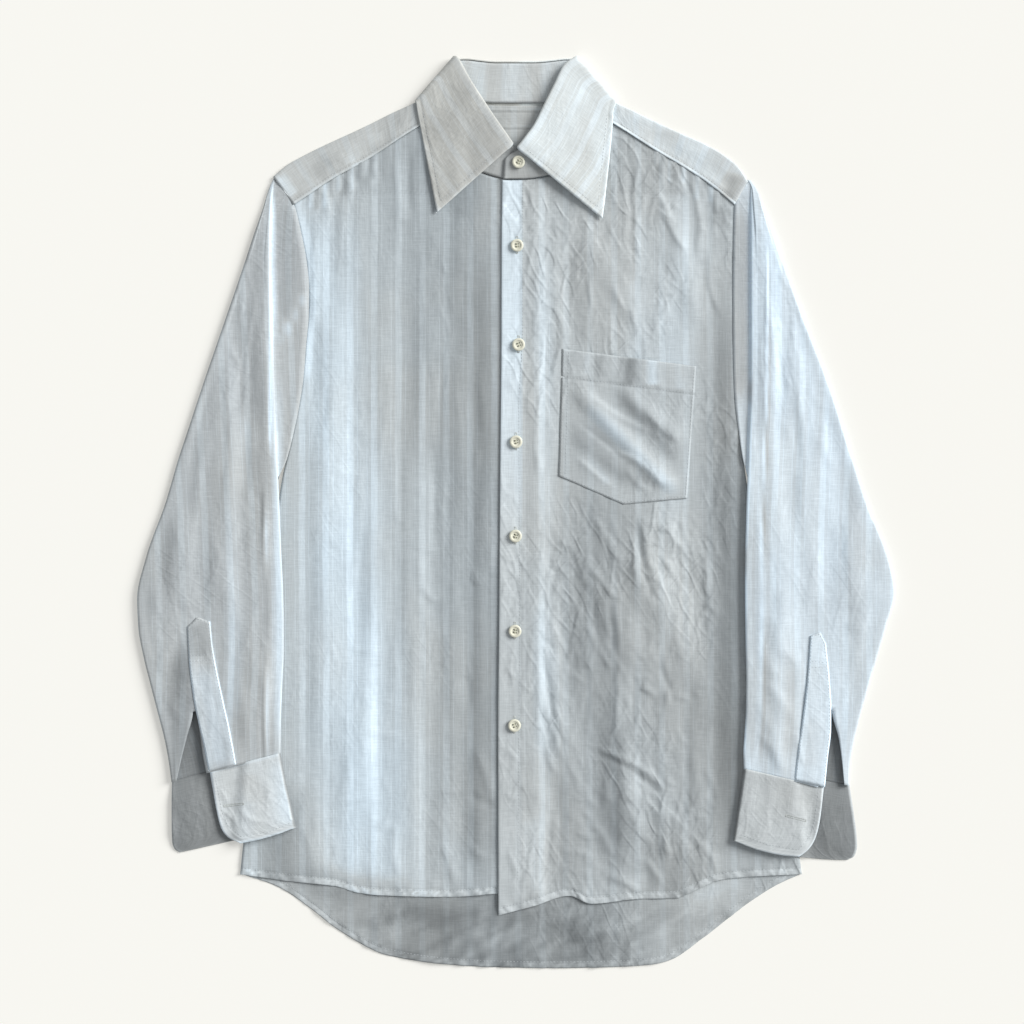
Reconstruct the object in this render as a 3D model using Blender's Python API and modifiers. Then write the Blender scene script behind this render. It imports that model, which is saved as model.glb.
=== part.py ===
# Linen shirt laid flat on its back, face up, with its collar folded and its cuffs open.
# The tables are in millimetres, X to the viewer's right, Y to the collar, Z up from the table.
from collections import namedtuple

import bmesh
import bpy
import numpy as np

MM = 0.001

# Driving sizes
CLOTH = 1.2  # wall of single cloth
DOUBLE = 1.6  # wall of the collar and cuffs, which are two cloths
GAP = 0.3  # between pieces at a seam and between layers
PUFF = 4.6  # between the middles of a sleeve's two layers
CUFF_PUFF = PUFF + CLOTH - DOUBLE
YOKE_LIFT = DOUBLE + GAP  # the yoke lies over the back of the collar's leaf
SHOULDER_PUFF = 2.6  # between the middles of the yoke's two layers at the fold
BUTTON_WIDE = 11.5
BUTTON_THICK = 2.3
BUTTON_STEPS = 12
RAMP = 14.0  # width over which the top front comes down from the overlap
SLEEVE_RAMP = 60.0  # the same for a sleeve's upper layer beside the body
BESIDE = 2.0  # how far outside the body's edge a layer is still at its full height
SPARE = 0.25  # more room where a strip lies on a bent layer
NECK_SPARE = 0.5  # how much more the fronts are raised round the neck than the yoke
LEAF_ROLL = 1.6  # radius of the collar's roll at the front
BACK_ROLL = 0.95  # the same behind the neck, where it is pressed flat
YOKE_SIDE_X = 68.0  # where the yoke's shoulder part meets its middle part

LAYER = CLOTH + GAP
BACK_Z = CLOTH / 2
FRONT_Z = BACK_Z + LAYER
BODY_TOP = FRONT_Z + CLOTH / 2 + GAP  # what a sleeve rests on where it lies over the body

Outline = namedtuple("Outline", "x y")

# Edges of the body, from the armhole's top down to the hem, on the viewer's left and right
LEFT_SIDE = [Outline(*row) for row in (
    (-200.5, 277), (-193.5, 250), (-188, 218), (-186.3, 190), (-189, 155), (-192, 117.5),
    (-198, 83), (-211.5, 22.5), (-229, -140), (-248, -325))]
RIGHT_SIDE = [Outline(*row) for row in (
    (197, 277), (196.2, 250), (195.6, 218), (195.4, 190), (195.8, 155), (196.5, 112),
    (199.5, 83), (208, 22.5), (231, -140), (257, -325))]
LEFT_YOKE_SEAM = [Outline(*row) for row in (
    (-200.5, 277), (-186, 286.5), (-166, 300), (-137.7, 315.5), (-90, 345.6), (-72, 356))]
RIGHT_YOKE_SEAM = [Outline(*row) for row in (
    (197, 277), (179, 292), (158, 306.6), (118.8, 330), (87.3, 349.7), (74, 357))]
LEFT_NECKLINE = [Outline(*row) for row in (
    (-72, 356), (-69, 340), (-56, 320), (-34, 306), (-10, 299.5), (15, 298.5))]
RIGHT_NECKLINE = [Outline(*row) for row in (
    (74, 357), (70, 338), (57, 318), (34, 304), (12, 299), (-11.7, 298.5))]
LEFT_HEM = [Outline(*row) for row in (
    (-248, -325), (-206, -331), (-163, -335.7), (-142, -341.7), (-120, -344), (-60, -345.6),
    (-18.5, -342.6), (15, -341))]
RIGHT_HEM = [Outline(*row) for row in (
    (257, -325), (209, -327.4), (184.5, -330), (158, -341), (144, -346.5), (108, -347.4),
    (68, -351.5), (48, -344.5), (15.8, -353.5), (-15.3, -361.6))]
TAIL_HEM = [Outline(*row) for row in (
    (-248, -325), (-215, -336.6), (-180, -360), (-163, -373.5), (-132, -392), (-118, -398),
    (-68, -406), (-25, -409), (38, -410), (88, -409), (120, -407), (138, -403), (168, -383),
    (209, -351.5), (235, -335), (257, -325))]
OVER_EDGE = [Outline(*row) for row in (
    (-11.7, 298.5), (-12.4, 239), (-12.6, 150), (-13.4, 63), (-14.2, -22), (-14.8, -107),
    (-15.6, -192), (-15.3, -361.6))]
UNDER_EDGE_X = 15.0
# Heights at which the edges of the body and of the sleeves have their points
ARMHOLE_Y = np.linspace(277, 22.5, 11)
SIDE_Y = np.concatenate([ARMHOLE_Y, np.linspace(22.5, -325, 15)[1:]])
BACK_SEAM_Y = 262.0  # straight seam between yoke and back, hidden under the fronts

# Shoulder folds from the armhole to the collar, and the neck's point on each
LEFT_SHOULDER = [Outline(*row) for row in (
    (-218.7, 301.5), (-211, 309), (-181, 325.8), (-138.6, 345.6), (-109, 360), (-91, 368), (-68, 379))]
RIGHT_SHOULDER = [Outline(*row) for row in (
    (208.8, 297.5), (202, 308.5), (180, 325.8), (137.7, 345.6), (107, 360), (89, 368.5), (68, 379))]
BACK_NECK = [Outline(*row) for row in (
    (-68, 379), (-50, 371.5), (-30, 367.6), (0, 366.8), (33, 367.4), (52, 371.5), (68, 379))]

# Soft folds of the two fronts: a ridge from its top to its foot, with its height and half width
Fold = namedtuple("Fold", "x_top y_top x_foot y_foot high wide")
LEFT_FOLDS = [Fold(*row) for row in (
    (-158, 262, -176, -250, 2.2, 15), (-118, 285, -140, -335, 1.8, 13),
    (-84, 240, -98, -338, 2.4, 14), (-50, 210, -62, -340, 2.0, 12),
    (-30, 60, -33, -340, 1.6, 8))]
RIGHT_FOLDS = [Fold(*row) for row in (
    (60, 250, 112, 168, 1.6, 13), (122, 300, 172, 160, 1.8, 14),
    (40, 0, 118, -150, 2.2, 15), (92, -16, 190, -190, 2.4, 16),
    (36, -120, 66, -345, 1.8, 12), (150, -40, 132, -340, 1.8, 14), (96, -190, 100, -342, 1.5, 13))]
SLEEVE_FOLDS = [Fold(*row) for row in (
    (228, 210, 236, -60, 1.0, 9), (262, 60, 262, -88, 1.6, 13), (300, 10, 296, -92, 1.4, 12),
    (236, -80, 236, -215, 1.2, 9), (324, -60, 305, -112, 1.0, 8))]

# Sections across a sleeve, from its head to its cuff: the inner and outer folds, the two edges
# of the slit as shares of the width, how far the layers are apart as a share of PUFF, and how
# much lower the upper layer ends at the slit
Section = namedtuple("Section", "inner_x inner_y outer_x outer_y slit_in slit_out puff drop")
LEFT_SLEEVE = [Section(*row) for row in (
    (217.6, 293.0, 222.9, 289.0, 0.60, 0.72, 0.50, 0),
    (219.2, 276.0, 227.9, 273.0, 0.60, 0.72, 0.70, 0),
    (220.4, 250.0, 236.5, 248.0, 0.62, 0.72, 1.00, 0),
    (221.0, 220.0, 246.0, 219.0, 0.64, 0.72, 1.00, 0),
    (219.6, 185.0, 258.0, 184.0, 0.66, 0.73, 1.00, 0),
    (218.0, 150.0, 270.0, 149.0, 0.66, 0.73, 1.00, 0),
    (217.0, 117.0, 281.0, 117.0, 0.66, 0.73, 1.00, 0),
    (216.0, 85.0, 291.5, 85.0, 0.66, 0.73, 1.00, 0),
    (214.0, 45.0, 305.0, 44.0, 0.66, 0.73, 1.00, 0),
    (212.0, 10.0, 315.5, 8.0, 0.66, 0.73, 1.00, 0),
    (210.0, -40.0, 333.0, -41.0, 0.66, 0.73, 1.05, 0),
    (208.4, -75.0, 340.9, -78.0, 0.66, 0.72, 1.06, 0),
    (208.0, -100.0, 339.8, -104.0, 0.665, 0.72, 1.02, 0),
    (208.0, -124.0, 335.2, -130.0, 0.67, 0.72, 1.00, 0),
    (209.0, -150.0, 329.0, -155.0, 0.675, 0.72, 1.00, 0),
    (210.0, -172.0, 322.0, -182.0, 0.685, 0.715, 1.00, 0),
    (210.6, -190.0, 316.4, -204.0, 0.69, 0.80, 1.00, 0),
    (210.8, -205.0, 312.6, -224.0, 0.69, 0.88, 1.00, 0),
    (211.0, -216.7, 310.0, -243.0, 0.675, 0.948, 1.00, 0))]
RIGHT_SLEEVE = [Section(*row) for row in (
    (210.4, 291.0, 218.0, 288.0, 0.60, 0.72, 0.50, 0),
    (210.5, 272.0, 224.4, 270.0, 0.60, 0.72, 0.80, 0),
    (210.6, 245.0, 233.6, 244.0, 0.62, 0.72, 1.00, 0),
    (210.6, 205.0, 247.4, 205.0, 0.64, 0.72, 1.00, 0),
    (210.6, 170.0, 260.5, 170.0, 0.66, 0.73, 1.00, 0),
    (210.6, 140.0, 272.0, 140.0, 0.66, 0.73, 1.00, 0),
    (210.6, 112.0, 282.7, 112.0, 0.66, 0.73, 1.00, 0),
    (209.6, 84.0, 291.8, 83.0, 0.66, 0.73, 1.00, 0),
    (208.0, 48.0, 303.2, 47.0, 0.66, 0.73, 1.00, 0),
    (206.5, 10.0, 315.5, 8.0, 0.66, 0.73, 1.00, 0),
    (205.3, -40.0, 334.5, -40.0, 0.66, 0.73, 1.05, 0),
    (205.0, -72.0, 340.9, -72.0, 0.66, 0.72, 1.06, 0),
    (205.4, -102.0, 333.5, -100.0, 0.665, 0.72, 1.02, 0),
    (205.8, -127.0, 325.5, -128.0, 0.67, 0.72, 1.00, 0),
    (206.2, -150.0, 318.5, -152.0, 0.68, 0.72, 1.00, 0),
    (206.0, -175.0, 311.0, -178.0, 0.71, 0.74, 1.00, 0),
    (204.6, -200.0, 304.0, -206.0, 0.73, 0.86, 1.00, 1.5),
    (203.6, -216.0, 300.6, -227.0, 0.73, 0.92, 1.00, 3.5),
    (204.0, -230.5, 299.7, -246.0, 0.70, 0.948, 1.00, 5.4))]

# Cuffs from the sleeve's seam down: the flap's free end, the fold, and the under part's end
Band = namedtuple("Band", "down flap_x flap_y fold_x fold_y end_x end_y")
LEFT_CUFF = [Band(*row) for row in (
    (0.00, 275.0, -234.1, 211.0, -217.0, 309.4, -243.3),
    (0.35, 272.2, -249.5, 206.4, -240.0, 309.4, -264.0),
    (0.70, 268.4, -270.0, 201.4, -262.5, 309.3, -286.0),
    (0.88, 263.0, -284.0, 198.8, -275.0, 308.4, -297.5),
    (1.00, 247.0, -297.0, 197.0, -283.0, 302.5, -306.2))]
RIGHT_CUFF = [Band(*row) for row in (
    (0.00, 276.3, -248.0, 204.0, -231.0, 299.9, -246.6),
    (0.35, 274.6, -262.0, 200.8, -254.0, 303.0, -268.0),
    (0.70, 272.0, -280.0, 197.4, -276.0, 305.8, -288.5),
    (0.88, 268.6, -294.0, 195.6, -288.0, 306.2, -302.0),
    (1.00, 254.0, -309.0, 194.4, -295.0, 298.0, -313.0))]
# Lower edge of each cuff's two layers, as a bow below the straight line between its ends
CUFF_BOW = {"LEFT": (1.5, 0.0), "RIGHT": (3.0, 4.5)}
CUFF_BUTTONS = {"LEFT": Outline(-298.5, -272.0), "RIGHT": Outline(294.0, -278.0)}

# Slit bindings from their points down to the cuffs: outer and inner edges
Strip = namedtuple("Strip", "outer_x outer_y inner_x inner_y")
LEFT_GAUNTLET = [Strip(*row) for row in (
    (295, -103, 274.5, -98.5), (294.2, -120, 272.7, -118), (293, -138, 269.5, -137),
    (288.5, -172, 262, -172), (283.5, -195, 257, -194), (279.5, -212, 253.6, -211),
    (275.2, -231, 250.4, -225.4))]
RIGHT_GAUNTLET = [Strip(*row) for row in (
    (278, -118, 264.4, -111), (280.0, -136, 262.8, -134), (281.8, -156, 261, -154),
    (282.8, -176, 258.6, -174), (282.6, -196, 255.6, -196), (280, -218, 252.4, -218),
    (276.6, -245.6, 249.6, -239.6))]
GAUNTLET_POINT = {"LEFT": Outline(-285.5, -94.5), "RIGHT": Outline(272.5, -108.0)}

# Collar stations from the front end round to the side of the neck: seam, roll and outer edge
Station = namedtuple("Station", "seam_x seam_y seam_z roll_x roll_y roll_z edge_x edge_y edge_z")
LEFT_COLLAR = [Station(*row) for row in (
    (-8.0, 300.2, 3.0, -3.0, 328.5, 4.6, -71.0, 269.0, 4.7),
    (-20.0, 302.2, 3.0, -9.0, 336.5, 6.4, -73.4, 281.0, 4.4),
    (-40.0, 310.0, 3.4, -19.0, 350.0, 8.2, -77.4, 302.0, 4.6),
    (-56.0, 321.5, 3.6, -31.0, 368.0, 8.6, -82.0, 325.0, 5.7),
    (-68.0, 340.5, 3.8, -42.5, 386.0, 8.0, -86.0, 346.0, 6.4),
    (-70.8, 357.0, 4.6, -49.5, 399.0, 7.0, -88.6, 359.0, 7.1))]
RIGHT_COLLAR = [Station(*row) for row in (
    (8.0, 299.4, 4.9, 6.3, 320.4, 6.6, 77.7, 263.3, 4.7),
    (21.0, 301.0, 4.6, 11.0, 330.0, 7.4, 79.4, 276.0, 4.4),
    (40.0, 307.0, 4.0, 17.5, 345.0, 8.2, 82.0, 299.0, 4.6),
    (57.0, 319.5, 3.6, 27.5, 365.0, 8.6, 84.6, 323.0, 5.7),
    (69.0, 338.5, 3.8, 37.0, 384.0, 8.0, 86.6, 345.0, 6.4),
    (72.6, 357.0, 4.6, 44.8, 399.0, 7.0, 87.4, 359.0, 7.1))]


# The stand's two ends, which lap past the leaf: the under one first, each with a rounded corner
StandEnd = namedtuple("StandEnd", "seam_x seam_y seam_z top_x top_y top_z")
UNDER_STAND = [StandEnd(*row) for row in (
    (13.0, 300.0, 2.9, 10.5, 317.5, 3.5), (7.0, 300.0, 2.9, 6.0, 322.5, 3.7))]
OVER_STAND = [StandEnd(*row) for row in (
    (-11.4, 299.3, 4.9, -10.2, 316.5, 6.1), (-6.5, 299.3, 4.9, -5.5, 321.0, 6.4))]

# Where the collar folds flat at each side of the neck: the middle of the fold's curve, the way
# that it bulges, its radius and the height of the layer beneath
Bend = namedtuple("Bend", "x y way_x way_y radius low")
COLLAR_BENDS = {
    "seam": Bend(67.4, 377.0, 0.0, 1.0, 1.1, 2.7),
    "roll": Bend(53.6, 405.6, 0.5, 0.86, 1.95, 2.7),
    "edge": Bend(89.6, 366.4, 0.35, 0.94, 3.2, 0.8)}


def smooth(keys, values, at):
    """Values at places along a curve through the rows, which never swings past them."""
    keys, values, at = (np.asarray(a, float) for a in (keys, values, at))
    step = np.diff(keys)
    slope = np.diff(values) / step
    lean = np.zeros(len(keys))
    lean[0], lean[-1] = slope[0], slope[-1]
    same = slope[:-1] * slope[1:] > 0
    mean = 2 * slope[:-1] * slope[1:] / np.where(same, slope[:-1] + slope[1:], 1)
    lean[1:-1] = np.where(same, mean, 0)
    i = np.clip(np.searchsorted(keys, at, side="right") - 1, 0, len(step) - 1)
    t = (at - keys[i]) / step[i]
    rise = (3 - 2 * t) * t * t
    return (values[i] * (1 - rise) + values[i + 1] * rise
            + step[i] * (lean[i] * t * (1 - t) ** 2 - lean[i + 1] * t * t * (1 - t)))


def along(rows, shares):
    """Points at shares of an edge's length, one row of X and Y for each share."""
    points = np.array([(row.x, row.y) for row in rows], float)
    length = np.concatenate([[0], np.cumsum(np.linalg.norm(np.diff(points, axis=0), axis=1))])
    at = np.asarray(shares) * length[-1]
    return np.stack([smooth(length, points[:, k], at) for k in (0, 1)], axis=-1)


def step_up(t):
    """A soft step from 0 to 1."""
    t = np.clip(t, 0, 1)
    return t * t * (3 - 2 * t)


def ridges(x, y, folds):
    """Height of soft ridges that fade at both ends."""
    high = np.zeros(np.shape(x))
    for fold in folds:
        run = np.hypot(fold.x_foot - fold.x_top, fold.y_foot - fold.y_top)
        way = (fold.x_foot - fold.x_top) / run, (fold.y_foot - fold.y_top) / run
        on = (x - fold.x_top) * way[0] + (y - fold.y_top) * way[1]
        off = (x - fold.x_top) * way[1] - (y - fold.y_top) * way[0]
        ends = step_up(on / (0.25 * run)) * step_up((run - on) / (0.15 * run))
        high = high + fold.high * ends * np.exp(-((off / fold.wide) ** 2))
    return high


def side_x(y, side):
    """Distance of the body's edge from the middle at a height on the shirt."""
    rows = LEFT_SIDE if side == "LEFT" else RIGHT_SIDE
    edge = smooth([-row.y for row in rows], [abs(row.x) for row in rows], -SIDE_Y)
    return np.interp(-np.asarray(y, float), -SIDE_Y, edge)


def armhole_x(y, side):
    """Distance of the armhole seam, and below it the body's edge, from the middle."""
    shoulder = (LEFT_SHOULDER if side == "LEFT" else RIGHT_SHOULDER)[0]
    top = LEFT_SIDE[0] if side == "LEFT" else RIGHT_SIDE[0]
    share = np.clip((y - top.y) / (shoulder.y - top.y), 0, 1)
    return side_x(min(y, top.y), side) + (abs(shoulder.x) - abs(top.x)) * share


# Where a sleeve comes up onto the body, below the armhole
UNDERARM_Y, ON_BODY_Y = 78.0, 36.0
# A cuff is raised level over its button out to the first distance, and is down at the second
BUTTON_REACH = (16.0, 36.0)
BUTTON_LIFT = BUTTON_THICK + GAP + 0.1


def rest_z(x, y, side, ramp=RAMP):
    """Height of what a sleeve or cuff lies on: the table, or the body where it covers it."""
    outside = np.abs(x) - side_x(y, side)
    over = step_up((ramp - outside) / (ramp - BESIDE))
    over = over * step_up((UNDERARM_Y - y) / (UNDERARM_Y - ON_BODY_Y))
    button = CUFF_BUTTONS[side]
    away = np.hypot(x - button.x, y - button.y)
    level, down = BUTTON_REACH
    lift = step_up((down - away) / (down - level)) * BUTTON_LIFT
    return np.maximum(BODY_TOP * over, lift)


# Rise onto the leaf at the neck: the height on the shirt where it starts and where it is full,
# the distance from the middle where it ends, and how far that takes; with more room it starts
# lower and ends farther out
Rise = namedtuple("Rise", "start full reach fade")
NECK_RISE = Rise(308.0, 341.0, 130.0, 30.0)
NECK_MORE = Rise(-16.0, -4.0, 8.0, 0.0)


def neck_lift(x, y, spare=0.0):
    """How far the cloth round the neck is raised by the collar's leaf beneath it."""
    start, full, reach, fade = (a + b * spare for a, b in zip(NECK_RISE, NECK_MORE))
    across = np.clip((reach - np.abs(x)) / fade, 0, 1)
    return (YOKE_LIFT + spare) * np.clip((y - start) / (full - start), 0, 1) * across


# Margins without folds: along the lap, at the body's side, and round the pocket's four sides
Margin = namedtuple("Margin", "at fade")
LAP_MARGIN = Margin(21.0, 20.0)
RIGHT_MARGIN = Margin(180.0, 30.0)
UNDER_MARGIN = Margin(-19.0, 14.0)
LEFT_MARGIN = Margin(-196.0, 20.0)
POCKET_MARGINS = {"left": 22.0, "right": 182.0, "top": 166.0, "foot": -12.0}
POCKET_FADE = 14.0


def over_front(x, y):
    """Height of the middle of the viewer's right front, which laps over the other one."""
    lap = step_up((UNDER_EDGE_X + BESIDE + RAMP - x) / RAMP)
    clear = (step_up((x - LAP_MARGIN.at) / LAP_MARGIN.fade)
             * step_up((RIGHT_MARGIN.at - x) / RIGHT_MARGIN.fade))
    edge = POCKET_MARGINS
    inward = (x - edge["left"], edge["right"] - x, edge["top"] - y, y - edge["foot"])
    pocket = 1 - np.prod([step_up(depth / POCKET_FADE) for depth in inward], axis=0)
    return (FRONT_Z + LAYER * lap + clear * pocket * ridges(x, y, RIGHT_FOLDS)
            + neck_lift(x, y, NECK_SPARE))


def under_front(x, y):
    """Height of the middle of the viewer's left front."""
    clear = (step_up((UNDER_MARGIN.at - x) / UNDER_MARGIN.fade)
             * step_up((x - LEFT_MARGIN.at) / LEFT_MARGIN.fade))
    return FRONT_Z + clear * ridges(x, y, LEFT_FOLDS) + neck_lift(x, y, NECK_SPARE)


def patch(top, bottom, left, right, across, down):
    """A net of points between four edges, each a function of a share of its length."""
    u, v = np.meshgrid(across, down)
    net = np.zeros(u.shape + (2,))
    u, v = u[..., None], v[..., None]
    net += (1 - v) * top(across)[None] + v * bottom(across)[None]
    net += (1 - u) * left(down)[:, None] + u * right(down)[:, None]
    ends = np.array([0.0, 1.0])
    high, low = top(ends), bottom(ends)
    net -= (1 - u) * (1 - v) * high[0] + u * (1 - v) * high[1]
    net -= (1 - u) * v * low[0] + u * v * low[1]
    return net


def finish(name, colour, rough):
    """A plain material for a piece."""
    material = bpy.data.materials.new(name)
    material.use_nodes = True
    shader = material.node_tree.nodes["Principled BSDF"]
    shader.inputs["Base Color"].default_value = (*colour, 1)
    shader.inputs["Roughness"].default_value = rough
    shader.inputs["Metallic"].default_value = 0
    return material


def net_mesh(bm, net, missing=None):
    """A grid whose points are moved onto the net; missing(row, column) leaves a face out."""
    rows, columns = net.shape[:2]
    made = bmesh.ops.create_grid(bm, x_segments=columns - 1, y_segments=rows - 1, size=1)
    place = {}
    for vert in made["verts"]:
        column = round((vert.co.x + 1) / 2 * (columns - 1))
        row = round((1 - vert.co.y) / 2 * (rows - 1))
        place[vert] = (row, column)
    if missing:
        cut = []
        for face in {face for vert in made["verts"] for face in vert.link_faces}:
            corner = [place[vert] for vert in face.verts]
            if missing(min(row for row, _ in corner), min(column for _, column in corner)):
                cut.append(face)
        bmesh.ops.delete(bm, geom=cut, context="FACES")
    for vert, (row, column) in place.items():
        if vert.is_valid:
            vert.co = net[row, column] * MM


def cloth(name, nets, wall, material, collection, missing=None):
    """One cut piece: nets of points, joined where they meet, with a wall on both sides."""
    bm = bmesh.new()
    for net in nets:
        net_mesh(bm, net, missing)
    bmesh.ops.remove_doubles(bm, verts=bm.verts, dist=0.02 * MM)
    bmesh.ops.recalc_face_normals(bm, faces=bm.faces)
    mesh = bpy.data.meshes.new(name)
    bm.to_mesh(mesh)
    bm.free()
    mesh.shade_smooth()
    mesh.set_sharp_from_angle(angle=np.radians(40))
    piece = bpy.data.objects.new(name, mesh)
    collection.objects.link(piece)
    mesh.materials.append(material)
    solid = piece.modifiers.new("Wall", "SOLIDIFY")
    solid.thickness = wall * MM
    solid.offset = 0
    return piece


def flat_net(plan, high):
    """The net's points with their heights."""
    return np.concatenate([plan, np.asarray(high)[..., None]], axis=-1)


def joined_edge(first, second, share):
    """Two edges end to end; the first takes the given share of the way."""
    def at(shares):
        shares = np.asarray(shares, float)
        head = along(first, np.clip(shares / share, 0, 1))
        tail = along(second, np.clip((shares - share) / (1 - share), 0, 1))
        return np.where((shares <= share)[..., None], head, tail)
    return at


def body_panels(material, collection):
    """The back and the two fronts, each between its side, hem, closing edge and seams."""
    inset = np.array([0.0, -GAP])

    def seam_end(rows):
        return lambda shares: along(rows, shares)

    def side_edge(side, top):
        sign = -1 if side == "LEFT" else 1

        def at(shares):
            y = top + (SIDE_Y[-1] - top) * np.asarray(shares, float)
            return np.stack([sign * side_x(y, side), y], axis=-1)
        return at

    def rows_from(top):
        y = np.concatenate([[top], SIDE_Y[SIDE_Y < top - 1]])
        return (top - y) / (top - y[-1])

    ends = [sign * float(side_x(BACK_SEAM_Y, side)) for side, sign in (("LEFT", -1), ("RIGHT", 1))]
    plan = patch(
        lambda s: np.stack([ends[0] + (ends[1] - ends[0]) * s, 0 * s + BACK_SEAM_Y], -1),
        seam_end(TAIL_HEM), side_edge("LEFT", BACK_SEAM_Y), side_edge("RIGHT", BACK_SEAM_Y),
        np.linspace(0, 1, 13), rows_from(BACK_SEAM_Y))
    cloth("back", [flat_net(plan + inset, np.full(plan.shape[:2], BACK_Z))], CLOTH,
          material, collection)

    down = rows_from(SIDE_Y[0])
    plan = patch(
        joined_edge(LEFT_YOKE_SEAM, LEFT_NECKLINE, 0.6), seam_end(LEFT_HEM),
        side_edge("LEFT", SIDE_Y[0]),
        lambda s: np.stack([0 * s + UNDER_EDGE_X, 298.5 + (-341 - 298.5) * s], -1),
        np.linspace(0, 1, 17), down)
    plan = plan + inset
    cloth("front_right", [flat_net(plan, under_front(plan[..., 0], plan[..., 1]))], CLOTH,
          material, collection)

    plan = patch(
        joined_edge(RIGHT_YOKE_SEAM, RIGHT_NECKLINE, 0.55), seam_end(RIGHT_HEM),
        side_edge("RIGHT", SIDE_Y[0]), seam_end(OVER_EDGE), np.linspace(0, 1, 19), down)
    plan = plan + inset
    cloth("front_left", [flat_net(plan, over_front(plan[..., 0], plan[..., 1]))], CLOTH,
          material, collection)


def yoke(material, collection):
    """One piece from the front yoke seams over the shoulders to the straight back seam."""
    def leg(front, shoulder, side):
        shares = np.linspace(0, 1, 11)
        seam, fold = along(front, shares), along(shoulder, shares)
        sign = -1 if side == "LEFT" else 1
        arm = float(armhole_x(BACK_SEAM_Y, side))
        foot = sign * (arm + (YOKE_SIDE_X - arm) * shares)
        foot = np.stack([foot, 0 * shares + BACK_SEAM_Y], -1)
        way = fold - seam
        way = way / np.linalg.norm(way, axis=1)[:, None]
        hinge = fold - way * (SHOULDER_PUFF / 2 + CLOTH / 2)
        columns = []
        for share in (0.0, 0.3, 0.65, 1.0):
            plan = seam + way * GAP + (hinge - seam - way * GAP) * share
            high = FRONT_Z + (BACK_Z + SHOULDER_PUFF - FRONT_Z) * step_up(share)
            spare = NECK_SPARE * (1 - share)
            columns.append(flat_net(plan, high + neck_lift(plan[:, 0], plan[:, 1], spare)))
        radius = SHOULDER_PUFF / 2
        for turn in np.radians((45, 90, 135)):
            plan = hinge + way * radius * np.sin(turn)
            high = BACK_Z + radius * (1 + np.cos(turn)) + neck_lift(hinge[:, 0], hinge[:, 1])
            columns.append(flat_net(plan, high))
        for share in BACK_SHARES:
            plan = hinge + (foot - hinge) * share
            if share == ARMHOLE_SHARE:
                plan[0, 1] = SIDE_Y[0]
            edge = sign * armhole_x(plan[0, 1], side) - plan[0, 0]
            plan[:, 0] += edge * (1 - shares) ** 3 * (share > 0)
            columns.append(flat_net(plan, BACK_Z + neck_lift(plan[:, 0], plan[:, 1])))
        return np.stack(columns, axis=1)

    left = leg(LEFT_YOKE_SEAM, LEFT_SHOULDER, "LEFT")
    right = leg(RIGHT_YOKE_SEAM, RIGHT_SHOULDER, "RIGHT")
    first, last = left[-1, -len(BACK_SHARES):], right[-1, -len(BACK_SHARES):]
    neck = along(BACK_NECK, np.linspace(0, 1, 11))
    rows = []
    for k, share in enumerate(BACK_SHARES):
        t = np.linspace(0, 1, 11)
        plan = first[k, :2] + (last[k, :2] - first[k, :2]) * t[:, None]
        dip = neck - (neck[0] + (neck[-1] - neck[0]) * t[:, None])
        plan = plan + dip * (1 - share) ** 1.5
        rows.append(flat_net(plan, BACK_Z + neck_lift(plan[:, 0], plan[:, 1])))
    middle = np.stack(rows, axis=1)
    middle[0], middle[-1] = first, last
    cloth("yoke", [left, middle, right], CLOTH, material, collection)


ARMHOLE_SHARE = 0.6  # of the yoke's back, where its edge meets the body's
BACK_SHARES = (0.0, 0.14, 0.28, ARMHOLE_SHARE, 1.0)


def sections(table):
    """The table's sections, and between them more at the armhole's points."""
    keys = [-row.inner_y for row in table]
    places = [table[0].inner_y, *ARMHOLE_Y]
    made = [Section(*(float(smooth(keys, [row[k] for row in table], -y))
                      for k in range(len(Section._fields)))) for y in places]
    return made + [row for row in table if row.inner_y < ARMHOLE_Y[-1] - 5]


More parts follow.
